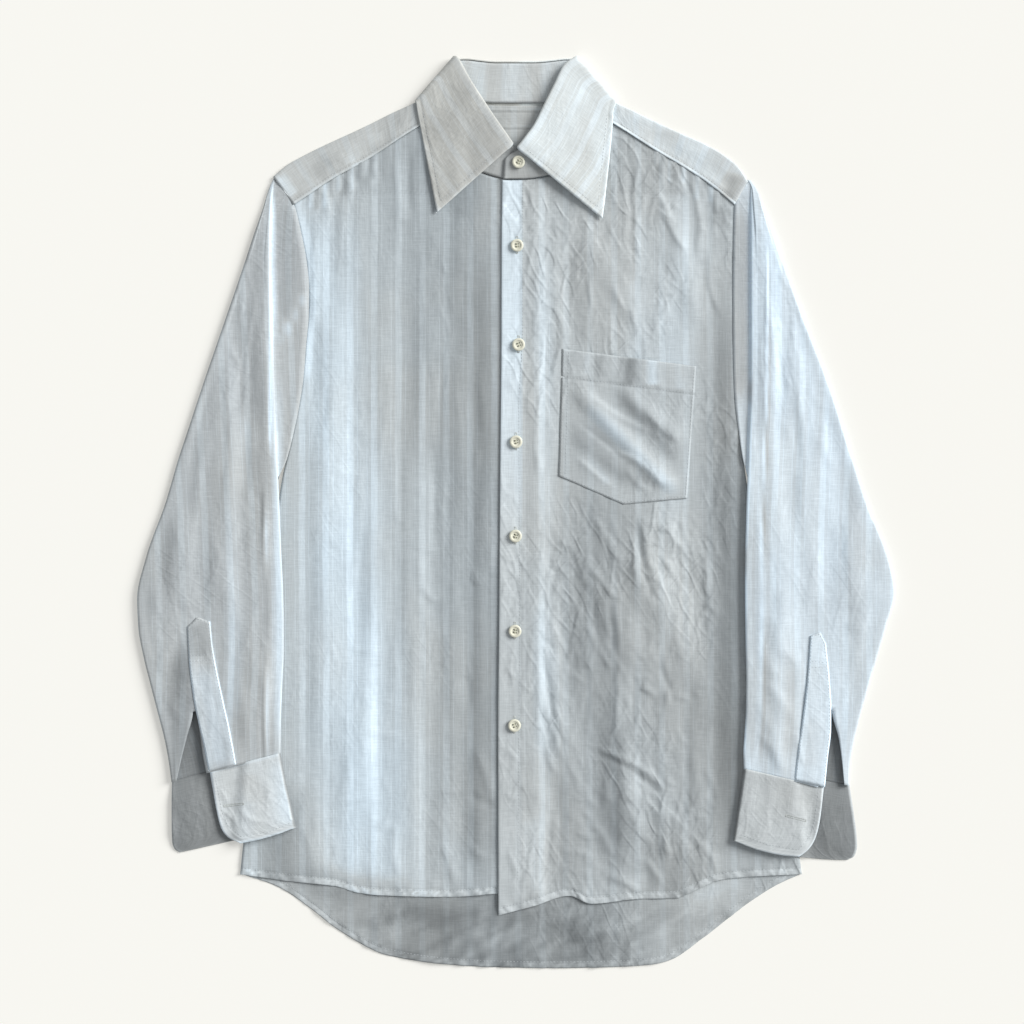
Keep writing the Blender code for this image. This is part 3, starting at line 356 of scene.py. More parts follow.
def layCloth(name, nets, finish, double=False, missing=None):
    # one cut piece of cloth in place of its CAD node
    thick = heights["doubleCloth" if double else "cloth"]
    bm = bmesh.new()
    # no net goes down into the floor
    for net in nets:
        net[0][..., 2] = np.maximum(net[0][..., 2], thick / 2 + heights["clear"])
        gridNet(bm, net, missing)
    bmesh.ops.remove_doubles(bm, verts=bm.verts, dist=0.02 * mm)
    bmesh.ops.recalc_face_normals(bm, faces=bm.faces)
    piece = addPiece(name + "_cloth", bm, finish)
    wall = piece.modifiers.new("Wall", "SOLIDIFY")
    wall.thickness = thick * mm
    wall.offset = 0
    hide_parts(name)
    return piece


# Shader groups that the linens share
def newGroup(name, inputs, outputs):
    group = bpy.data.node_groups.new(name, "ShaderNodeTree")
    for label, kind, value in inputs:
        socket = group.interface.new_socket(name=label, in_out="INPUT", socket_type="NodeSocket" + kind)
        if value is not None:
            socket.default_value = value
    for label, kind in outputs:
        group.interface.new_socket(name=label, in_out="OUTPUT", socket_type="NodeSocket" + kind)
    return group, group.nodes.new("NodeGroupInput"), group.nodes.new("NodeGroupOutput")


def addNode(tree, kind, links=None, **settings):
    # a node with its settings; links gives a value or an output for each named input
    node = tree.nodes.new("ShaderNode" + kind)
    for key, value in settings.items():
        setattr(node, key, value)
    for key, value in (links or {}).items():
        if isinstance(value, bpy.types.NodeSocket):
            tree.links.new(value, node.inputs[key])
        else:
            node.inputs[key].default_value = value
    return node


def sums(tree, operation, first, second=0.0, third=0.0):
    links = {0: first, 1: second}
    if operation in ("MULTIPLY_ADD", "SMOOTH_MIN"):
        links[2] = third
    return addNode(tree, "Math", links, operation=operation).outputs[0]


def spread(tree, value, low, high, bottom=0.0, top=1.0):
    # a value between low and high becomes one between bottom and top, softly
    links = {"Value": value, "From Min": low, "From Max": high, "To Min": bottom, "To Max": top}
    return addNode(tree, "MapRange", links, interpolation_type="SMOOTHSTEP").outputs["Result"]


def apart(tree, first, second):
    return sums(tree, "ABSOLUTE", sums(tree, "SUBTRACT", first, second))


def mixed(tree, factor, first, second, blend="MIX"):
    colours = [part if isinstance(part, bpy.types.NodeSocket) else (*part, 1) for part in (first, second)]
    links = {0: factor, 6: colours[0], 7: colours[1]}
    return addNode(tree, "Mix", links, data_type="RGBA", blend_type=blend).outputs[2]


def newMaterial(name, rough):
    material = bpy.data.materials.new(name)
    material.use_nodes = True
    shader = material.node_tree.nodes["Principled BSDF"]
    shader.inputs["Roughness"].default_value = rough
    return material, shader


def stretched(tree, vector, scale, detail=2.0, shift=(0.0, 0.0, 0.0), rough=0.5, turn=0.0):
    # noise whose lumps per metre differ across and along the cloth
    where = addNode(tree, "Mapping", {"Vector": vector, "Scale": (*scale, 1.0), "Location": shift,
                                      "Rotation": (0, 0, np.radians(turn))})
    links = {"Vector": where.outputs[0], "Scale": 1.0, "Detail": detail, "Roughness": rough}
    return addNode(tree, "TexNoise", links, noise_dimensions="2D").outputs["Fac"]


def makeStripeGroup():
    # satin stripes woven in the linen, along V, with soft uneven edges
    group, given, result = newGroup(
        "shadowStripes", [("Cloth", "Vector", None), ("Period", "Float", 0.0216), ("Wide", "Float", 0.27),
                          ("Shift", "Float", 0.5)], [("Mask", "Float")])
    parts = addNode(group, "SeparateXYZ", {0: given.outputs["Cloth"]})
    wander = stretched(group, given.outputs["Cloth"], (8, 9), 1.0)
    across = sums(group, "DIVIDE", parts.outputs[0], given.outputs["Period"])
    across = sums(group, "ADD", across, given.outputs["Shift"])
    across = sums(group, "MULTIPLY_ADD", wander, 0.08, across)
    away = apart(group, sums(group, "FRACT", across), 0.5)
    half = sums(group, "MULTIPLY", given.outputs["Wide"], 0.5)
    inner = sums(group, "SUBTRACT", half, 0.03)
    outer = sums(group, "ADD", half, 0.03)
    band = spread(group, away, inner, outer, 1.0, 0.0)
    thin = spread(group, apart(group, away, 0.30), 0.012, 0.03, 0.6, 0.0)
    uneven = spread(group, stretched(group, given.outputs["Cloth"], (110, 14), 2.0), 0.3, 0.65, 0.45, 1.0)
    mask = sums(group, "MULTIPLY", sums(group, "MAXIMUM", band, thin), uneven)
    group.links.new(mask, result.inputs["Mask"])
    return group


def makeThreadGroup():
    # linen's plain weave with thick and thin threads both ways
    group, given, result = newGroup(
        "linenThreads", [("Cloth", "Vector", None)],
        [("Tone", "Float"), ("Slub", "Float"), ("Height", "Float")])
    cloth = given.outputs["Cloth"]
    warp = stretched(group, cloth, (950, 60), 3.0, rough=0.6)
    weft = stretched(group, cloth, (75, 900), 3.0, (3.0, 7.0, 0.0), rough=0.6)
    tone = sums(group, "MULTIPLY_ADD", sums(group, "ADD", warp, weft), 0.5, 0.0)
    slubAcross = spread(group, stretched(group, cloth, (70, 760), 2.0, (5.0, 2.0, 0.0)), 0.60, 0.76)
    slubAlong = spread(group, stretched(group, cloth, (620, 14), 2.0, (1.0, 4.0, 0.0)), 0.63, 0.78)
    slub = sums(group, "MAXIMUM", slubAcross, sums(group, "MULTIPLY", slubAlong, 0.7))
    parts = addNode(group, "SeparateXYZ", {0: cloth})
    over = sums(group, "SINE", sums(group, "MULTIPLY", parts.outputs[0], 2 * np.pi / 0.0009))
    along = sums(group, "SINE", sums(group, "MULTIPLY", parts.outputs[1], 2 * np.pi / 0.0009))
    weave = sums(group, "MULTIPLY", over, along)
    high = sums(group, "MULTIPLY_ADD", weave, 0.18, tone)
    high = sums(group, "MULTIPLY_ADD", slub, 0.55, high)
    for label, value in (("Tone", tone), ("Slub", slub), ("Height", high)):
        group.links.new(value, result.inputs[label])
    return group


def makeCrumpleGroup():
    # small creases that the mesh is too coarse for: fine lines where noise changes sign
    group, given, result = newGroup(
        "clothCrumple", [("Cloth", "Vector", None), ("Along", "Float", 18.0), ("Across", "Float", 60.0)],
        [("Height", "Float")])
    vector = given.outputs["Cloth"]
    scale = addNode(group, "CombineXYZ", {0: given.outputs["Across"], 1: given.outputs["Along"], 2: 1.0})
    lines = []
    for turn, weight, more, shift in ((14, 0.5, 1.0, 0.0), (-28, 0.32, 1.7, 9.0), (52, 0.24, 2.3, 4.0)):
        where = addNode(group, "Mapping", {"Vector": vector, "Rotation": (0, 0, np.radians(turn)),
                                           "Location": (shift, shift, 0)})
        sized = addNode(group, "VectorMath", {0: where.outputs[0], 1: scale.outputs[0]},
                        operation="MULTIPLY")
        noise = addNode(group, "TexNoise", {"Vector": sized.outputs[0], "Scale": more, "Detail": 1.0},
                        noise_dimensions="2D")
        away = apart(group, noise.outputs["Fac"], 0.5)
        lines.append(sums(group, "MULTIPLY", spread(group, away, 0.0, 0.17, 1.0, 0.0), weight))
    total = sums(group, "ADD", sums(group, "ADD", lines[0], lines[1]), lines[2])
    where = spread(group, stretched(group, vector, (14, 9), 1.0, (2.0, 2.0, 0.0)), 0.35, 0.65)
    group.links.new(sums(group, "MULTIPLY", total, where), result.inputs["Height"])
    return group


groups = {"stripes": makeStripeGroup(), "threads": makeThreadGroup(), "crumple": makeCrumpleGroup()}

# Colours are linear; ground is the sheer cloth, stripe its denser bands, bound its doubled cloth;
# the three colours that the tone attribute picks between are painted shade, even cloth and painted light
linenLook = {
    "ground": (0.562, 0.595, 0.61), "stripe": (0.72, 0.785, 0.825), "bound": (0.71, 0.745, 0.76),
    "cloud": (0.585, 0.59, 0.575), "cloudy": 0.4, "stripeShare": 0.62, "shift": 0.363, "slub": 0.24,
    "paintedShade": (0.375, 0.386, 0.392), "even": (0.895, 0.918, 0.926), "paintedLight": (1.36, 1.54, 1.70),
    "turned": False, "crumple": 0.5, "along": 18.0, "across": 60.0, "weave": 0.22}


def linenFinish(name, **changes):
    look = {**linenLook, **changes}
    material, shader = newMaterial(name, 0.82)
    tree = material.node_tree
    shader.inputs["Specular IOR Level"].default_value = 0.28
    shader.inputs["Sheen Weight"].default_value = 0.12
    shader.inputs["Sheen Roughness"].default_value = 0.45
    cloth = addNode(tree, "UVMap", uv_map="cloth").outputs["UV"]
    if look["turned"]:
        cloth = addNode(tree, "Mapping", {"Vector": cloth, "Rotation": (0, 0, np.pi / 2)}).outputs[0]
    placed = {}
    for key, group in groups.items():
        placed[key] = addNode(tree, "Group", node_tree=group)
        tree.links.new(cloth, placed[key].inputs["Cloth"])
    placed["stripes"].inputs["Shift"].default_value = look["shift"]
    placed["crumple"].inputs["Along"].default_value = look["along"]
    placed["crumple"].inputs["Across"].default_value = look["across"]
    cloud = spread(tree, stretched(tree, cloth, (9, 6), 2.0, (4.0, 1.0, 0.0)), 0.35, 0.68, 0.0,
                   look["cloudy"])
    colour = mixed(tree, cloud, look["ground"], look["cloud"])
    stripe = sums(tree, "MULTIPLY", placed["stripes"].outputs["Mask"], look["stripeShare"])
    colour = mixed(tree, stripe, colour, look["stripe"])
    doubled = addNode(tree, "Attribute", attribute_name="doubled").outputs["Fac"]
    colour = mixed(tree, doubled, colour, look["bound"])
    slub = sums(tree, "MULTIPLY", placed["threads"].outputs["Slub"], look["slub"])
    colour = mixed(tree, slub, colour, look["bound"])
    thread = spread(tree, placed["threads"].outputs["Tone"], 0.3, 0.7, 0.90, 1.07)
    grey = addNode(tree, "CombineColor", {0: thread, 1: thread, 2: thread}).outputs[0]
    colour = mixed(tree, 1.0, colour, grey, "MULTIPLY")
    # painted light and shade: the tone attribute darkens the colour towards painted shade and lightens it
    # towards painted light
    tone = addNode(tree, "Attribute", attribute_name="tone").outputs["Fac"]
    darker = mixed(tree, sums(tree, "MULTIPLY", tone, 2.0), look["paintedShade"], look["even"])
    brighter = sums(tree, "MULTIPLY_ADD", tone, 2.0, -1.0)
    colour = mixed(tree, 1.0, colour, mixed(tree, brighter, darker, look["paintedLight"]), "MULTIPLY")
    tree.links.new(colour, shader.inputs["Base Color"])

    weave = addNode(tree, "Bump", {"Strength": look["weave"], "Distance": 0.0003,
                                   "Height": placed["threads"].outputs["Height"]})
    crumple = addNode(tree, "Bump", {"Strength": look["crumple"], "Distance": 0.0012,
                                     "Height": placed["crumple"].outputs["Height"],
                                     "Normal": weave.outputs["Normal"]})
    tree.links.new(crumple.outputs["Normal"], shader.inputs["Normal"])
    return material


def plainFinish(name, colour, rough, grain=0.0):
    material, shader = newMaterial(name, rough)
    tree = material.node_tree
    where = addNode(tree, "TexCoord").outputs["Object"]
    noise = addNode(tree, "TexNoise", {"Vector": where, "Scale": 420.0, "Detail": 3.0}).outputs["Fac"]
    tone = spread(tree, noise, 0.3, 0.7, 1 - grain, 1.0)
    shade = addNode(tree, "CombineColor", {0: tone, 1: tone, 2: tone}).outputs[0]
    tree.links.new(mixed(tree, 1.0, colour, shade, "MULTIPLY"), shader.inputs["Base Color"])
    return material


finishes = {
    "frontRight": linenFinish("linen_front_right", ground=(0.552, 0.597, 0.622), shift=0.356,
                              crumple=0.2, stripeShare=0.72),
    "frontLeft": linenFinish("linen_front_left", shift=0.389, stripeShare=0.42, crumple=0.8,
                             across=46.0, along=17.0),
    "back": linenFinish("linen_back", stripeShare=0.3),
    "yoke": linenFinish("linen_yoke", turned=True, ground=(0.615, 0.612, 0.585), stripeShare=0.35,
                        crumple=0.3),
    "sleeve": linenFinish("linen_sleeve", ground=(0.56, 0.585, 0.60), across=50.0, along=10.0,
                          crumple=0.3, stripeShare=0.5),
    "pocket": linenFinish("linen_pocket", cloudy=0.3, crumple=0.4, stripeShare=0.4),
    "collar": linenFinish("linen_collar", ground=(0.68, 0.675, 0.64), stripe=(0.77, 0.79, 0.785),
                          cloud=(0.66, 0.655, 0.63), stripeShare=0.8, crumple=0.22, shift=0.1),
    "stand": linenFinish("linen_stand", ground=(0.63, 0.64, 0.63), stripeShare=0.15, crumple=0.2),
    "cuff": linenFinish("linen_cuff", ground=(0.672, 0.70, 0.708), stripe=(0.79, 0.81, 0.82),
                        cloud=(0.67, 0.665, 0.64), stripeShare=0.5, crumple=0.35),
    "thread": plainFinish("sewing_thread", (0.56, 0.60, 0.62), 0.7, 0.15),
    "holeThread": plainFinish("buttonhole_thread", (0.62, 0.65, 0.63), 0.7, 0.25),
    "ivory": plainFinish("ivory_button", (0.80, 0.79, 0.66), 0.3, 0.12),
    "buttonThread": plainFinish("button_thread", (0.52, 0.52, 0.40), 0.75, 0.2)}
print("finishes made:", len(finishes))

# The viewer's right front, which laps over the other one
overFront = {
    "folds": [(60, 250, 112, 168, 1.6, 13), (122, 300, 172, 160, 1.8, 14), (40, 0, 118, -150, 2.2, 15),
              (92, -16, 190, -190, 2.4, 16), (36, -120, 66, -345, 1.8, 12), (150, -40, 132, -340, 1.8, 14),
              (96, -190, 100, -342, 1.5, 13)],
    "creases": [
        (104, 326, 104, 213, -0.9, 4, 0), (96, 322, 98, 240, 0.7, 4, 0), (124, 294, 146, 258, 0.9, 4, 2),
        (125, 273, 154, 229, 0.9, 4, -2), (131, 318, 133, 290, 0.7, 3, 0), (152, 308, 156, 284, -0.6, 3, 0),
        (161, 302, 163, 262, 0.9, 4, 0), (170, 298, 171, 268, -0.7, 3, 0), (180, 292, 180, 260, 0.6, 3, 0),
        (164, 277, 164, 226, 0.8, 5, 0), (24, 226, 27, 178, 0.9, 3, 0), (34, 200, 44, 150, 0.7, 3, 1),
        (88, 208, 101, 176, 0.8, 3, 1), (66, 213, 66, 178, 0.6, 3, 0), (55, 230, 55, 204, 0.6, 3, 0),
        (98, 190, 112, 150, 0.7, 3, -1), (124, 176, 130, 150, 0.6, 3, 0), (172, 240, 186, 170, 0.8, 6, 3),
        (17, 80, 20, 30, 0.9, 5, 0), (30, 96, 33, 20, 0.6, 5, 1), (66, 14, 102, -56, 1.3, 5, 4),
        (76, -6, 84, -60, -0.9, 4, 0), (108, 0, 131, -88, -1.2, 4, 6), (114, 2, 137, -84, 1.0, 4, 6),
        (134, -6, 154, -36, 1.0, 4, 2), (130, -38, 143, -60, 1.0, 3, 1), (69, -32, 85, -70, -0.9, 4, 2),
        (61, -43, 99, -82, 1.0, 4, 3), (100, -59, 109, -38, 0.8, 3, 0), (168, -38, 185, -100, 1.1, 5, 4),
        (71, -66, 72, -118, -0.8, 4, 0), (85, -70, 86, -134, -0.8, 4, 1), (92, -76, 93, -132, 0.9, 4, 0),
        (22, -114, 34, -127, -0.9, 3, 0), (22, -121, 46, -218, -1.2, 4, 3), (17, -118, 38, -214, 1.0, 5, 3),
        (34, -164, 44, -226, 0.9, 4, 2), (26, -206, 37, -242, 0.8, 4, 0), (65, -208, 138, -252, 1.4, 4, -5),
        (63, -214, 134, -258, -0.8, 4, -5), (63, -126, 63, -194, -0.7, 4, 0),
        (90, -134, 91, -214, 0.9, 3, 0),
        (107, -124, 107, -217, -0.8, 3, 0), (112, -153, 125, -168, 1.1, 5, 0),
        (130, -126, 141, -166, -0.9, 4, 2),
        (140, -164, 157, -171, 0.8, 3, 0), (69, -276, 93, -311, 1.2, 5, 2),
        (104, -270, 121, -298, 1.1, 5, 2),
        (131, -290, 140, -312, 1.0, 4, 0), (51, -288, 76, -295, 0.7, 3, 0), (51, -302, 70, -311, 0.9, 4, 0),
        (77, -322, 117, -342, 1.1, 5, 2), (117, -308, 134, -337, 1.1, 5, 2),
        (80, -236, 84, -270, 0.9, 5, 2),
        (60, -244, 74, -268, 0.8, 4, 0), (92, -252, 108, -262, 0.8, 4, 0),
        (146, -270, 158, -312, 0.9, 6, 2),
        (166, -296, 180, -322, 0.9, 5, 0), (152, -60, 160, -120, 0.8, 6, 2),
        (118, -96, 124, -140, 0.7, 5, 0),
        (146, -196, 150, -250, 0.7, 6, 0), (34, -262, 36, -330, 0.8, 5, 0),
        (20, -150, 22, -220, 0.6, 4, 0)],
    "plackets": [(-12, -30, -4, -47, 0.6, 2, 0), (-8, 20, 2, 4, 0.4, 3, 0), (-10, 120, 0, 110, 0.4, 3, 0),
                 (-12, -140, 2, -150, 0.5, 3, 0), (-10, -212, 4, -222, 0.6, 3, 0),
                 (-12, -250, 4, -262, 0.5, 4, 0), (-6, -300, 2, -330, 0.5, 3, 0)],
    "pocketMargins": (22.0, 182.0, 166.0, -12.0), "facing": 6.0,
    "cut": (0.277, 0.722), "restsOn": ["front_right", "back"]}
underFront = {
    "folds": [(-158, 262, -176, -250, 2.2, 15), (-118, 285, -140, -335, 1.8, 13),
              (-84, 240, -98, -338, 2.4, 14), (-50, 210, -62, -340, 2.0, 12), (-30, 60, -33, -340, 1.6, 8)],
    "creases": [
        (-150, -120, -118, -124, 0.5, 3, 1), (-140, -196, -96, -204, 0.5, 3, 1),
        (-170, 40, -140, 34, 0.4, 3, 1),
        (-100, -30, -64, -36, 0.45, 3, 1), (-72, -252, -36, -246, 0.6, 3, 1),
        (-160, -262, -120, -256, 0.5, 3, -1),
        (-169, 296, -169, 256, 0.9, 4, 0), (-176, 290, -178, 262, -0.6, 3, 0),
        (-150, 305, -149, 278, 0.8, 4, 0),
        (-158, 300, -159, 274, -0.6, 3, 0), (-131, 316, -130, 290, 0.7, 3, 0),
        (-124, 320, -123, 296, -0.5, 3, 0),
        (-94, 330, -95, 262, -0.9, 6, 0), (-106, 326, -108, 250, 0.7, 6, 0),
        (-74, 262, -76, 214, 0.6, 5, 0),
        (-41, -50, -32, -68, 1.0, 3, 1), (-35, 58, -34, 34, 0.7, 3, 0), (-87, -66, -70, -83, 0.8, 4, 0),
        (-41, -248, -18, -266, -1.1, 4, 3), (-33, -206, -19, -262, 1.3, 6, 4),
        (-43, -143, -43, -178, -0.7, 4, 0),
        (-66, -294, -51, -339, 1.1, 5, 3), (-111, -274, -102, -332, 0.9, 5, 2),
        (-126, -288, -111, -275, 0.7, 4, 0),
        (-41, -301, -24, -311, 0.9, 4, 0), (-181, 262, -188, 150, 1.0, 6, -4),
        (-62, 120, -66, -40, 0.5, 7, 2),
        (-116, 150, -120, 20, 0.5, 8, 0), (-140, 60, -146, -90, 0.5, 7, 0),
        (-150, -200, -158, -300, 0.6, 8, 0),
        (-190, -250, -186, -320, 0.7, 6, 0), (-30, 140, -33, 60, 0.6, 5, 0),
        (-54, -90, -58, -190, 0.6, 6, 0),
        (-28, -10, -24, -60, 0.7, 5, 0), (-78, 40, -74, -50, 0.5, 6, 2), (-168, 120, -172, 0, 0.5, 8, 0)],
    "cut": (0.263, 0.704), "restsOn": ["back"]}


overFront["creases"] += smallCreases(41, 95, (18, 176, -330, 4), -62, 0.62)
overFront["creases"] += smallCreases(42, 45, (18, 186, 0, 290), -78, 0.36)
underFront["creases"] += smallCreases(43, 44, (-186, -26, -335, 300), -84, 0.30)
underFront["creases"] += smallCreases(44, 22, (-190, -26, -335, -200), -60, 0.42)
# Bands of painted light and shade over each front: X and Y of the top and the foot, strength and half width
overFront["paintedShading"] = [
    (186, 250, 190, -320, -0.42, 12), (72, 70, 88, -345, -0.30, 22), (150, 330, 132, -330, 0.20, 17),
    (26, 290, 30, -345, 0.20, 12), (100, 325, 104, 200, -0.16, 5), (64, 262, 66, 60, -0.12, 16),
    (116, 300, 108, 60, 0.10, 13), (52, -60, 58, -340, -0.10, 14), (142, -90, 148, -400, -0.22, 26),
    (8, -262, 20, -350, 0.24, 13), (186, 276, 180, 256, -0.22, 8), (66, -208, 138, -252, -0.13, 1.8),
    (82, -230, 150, -280, 0.12, 6), (14, -60, 22, -230, 0.14, 10), (84, -96, 90, -200, 0.16, 7),
    (96, -262, 110, -330, -0.16, 8), (34, -100, 44, -250, 0.10, 8)]
# painted light and shade on the other front, as above
underFront["paintedShading"] = [
    (-182, 380, -128, -400, 0.35, 34), (-190, 300, -180, 40, 0.12, 10), (-38, 360, -28, -380, -0.36, 22),
    (-88, 320, -78, 20, -0.16, 20), (-216, -240, -206, -345, -0.45, 20), (-204, -322, -90, -342, -0.30, 9),
    (-30, 330, -52, 262, -0.18, 14), (-62, -250, -44, -345, 0.10, 12)]


for name, front, first, last in (("left", underFront, -184, -128), ("right", overFront, 126, 182)):
    # the cloth is eased into the yoke with small gathers
    for n, x in enumerate(np.linspace(first, last, 10)):
        top = float(np.interp(x, *zip(*sorted(body[name + "YokeSeam"]))))
        long = 16 + 9 * np.sin(n * 2.3) ** 2
        front["creases"].append((x, top + 5, x - 1, top - long, 0.75 - 0.25 * (n % 3), 2.4, 0))
        # painted light and shade, alternating beside the gathers
        front["paintedShading"].append((x, top + 4, x - 1, top - long, 0.2 * (-1) ** n, 2.8))


def seenThrough(x, y):
    # the seam of the back yoke shows faintly through the fronts
    across = softStep((np.abs(x) - 74) / 6) * softStep((164 - np.abs(x)) / 8)
    return across * (0.11 * bell(y - body["seenSeam"], 1.1)
                     + 0.05 * softStep((y - body["seenSeam"] - 0.5) / 2))


def overFrontHeight(x, y, fine=1.0):
    # middle of the viewer's right front; fine is how much of the small creases it has
    lap = softStep((body["underEdge"] + body["beside"] + body["ramp"] - x) / body["ramp"])
    clear = softStep((x - 21) / 20) * softStep((180 - x) / 30)
    first, last, top, foot = overFront["pocketMargins"]
    inward = (x - first, last - x, top - y, y - foot)
    free = 1 - np.prod([softStep(depth / 14) for depth in inward], axis=0)
    high = heights["front"] + heights["step"] * lap + clear * free * foldHeight(x, y, overFront["folds"])
    high = high + clear * free * 1.2 * softNoise(x, y, (17, 80), 91)
    small = creaseHeight(x, y, overFront["creases"]) * softStep((x - 14) / 6) * free
    strong = softStep((60 - y) / 80)
    small = small + (0.15 + 0.4 * strong) * free * softStep((x - 20) / 16) * (
        creaseWeb(x, y, (13, 44), 24, 31) + 0.8 * creaseWeb(x, y, (12, 30), -18, 47))
    small = small + 0.30 * softNoise(x, y, (7, 60), 5) * softStep((x - 12) / 10)
    small = small * (1 - 0.7 * softStep((y - 262) / 20) * softStep((96 - x) / 8))
    small = small * (1 - 0.75 * softStep((x - 178) / 14))
    small = small + creaseHeight(x, y, overFront["plackets"]) + 0.12 * softNoise(x, y, (10, 22), 8)
    edge = x - curve([-p[1] for p in body["overEdge"]], [p[0] for p in body["overEdge"]], -y)
    small = small + 0.9 * bell(edge, 6) * (0.6 + 0.4 * softNoise(x, y, (400, 34), 12))
    small = small + 0.45 * bell(x - overFront["facing"], 1.3) * softStep((300 - y) / 10)
    return high + np.maximum(fine * small, -1.0) + neckLift(x, y, heights["neckSpare"])


def underFrontHeight(x, y):
    # middle of the viewer's left front
    clear = softStep((-19 - x) / 14) * softStep((x + 196) / 20)
    high = heights["front"] + clear * foldHeight(x, y, underFront["folds"])
    high = high + clear * 0.9 * softNoise(x, y, (15, 110), 93)
    small = creaseHeight(x, y, underFront["creases"]) * softStep((-17 - x) / 6)
    small = small + 0.28 * clear * softNoise(x, y, (6, 80), 3) + 0.18 * clear * softNoise(x, y, (14, 9), 17)
    small = small + 0.35 * clear * creaseWeb(x, y, (16, 70), 6, 21)
    small = small * (1 - 0.7 * softStep((y - 262) / 20) * softStep((x + 98) / 8))
    return high + np.maximum(small, -1.0) + neckLift(x, y, heights["neckSpare"])


def hemShares(top, foot, spacing):
    # shares of a panel's height, with closer rows at its hem
    run = top - foot
    rows = np.linspace(0, 1 - 9.6 / run, int(run / spacing))
    return np.concatenate([rows, 1 - np.array([8.4, 7.2, 6, 4.8, 3.6, 2.4, 1.2, 0]) / run])


def pucker(points, wide=9.0, tall=0.75, pitch=4.6):
    # slanting ripples that a narrow sewn hem has along its edge
    away = np.linalg.norm(np.diff(points[::-1, :, :2], axis=0), axis=-1).cumsum(axis=0)
    away = np.pad(away, ((1, 0), (0, 0)))[::-1]
    on = points[..., 0] + 0.8 * away
    ripple = softNoise(on, away * 0 + 3, (pitch / 2, 50), 71) * bell(away - 3, wide / 2)
    groove = -0.35 * bell(away - body["hemWide"], 1.1)
    points[..., 2] += tall * ripple + groove
    # the mask follows the ripples; the callers use it for the doubled hem and for painted light on the
    # ripples' crests
    return np.where(away < 5.6, np.clip(0.38 + 0.6 * ripple, 0, 1), 0.0)


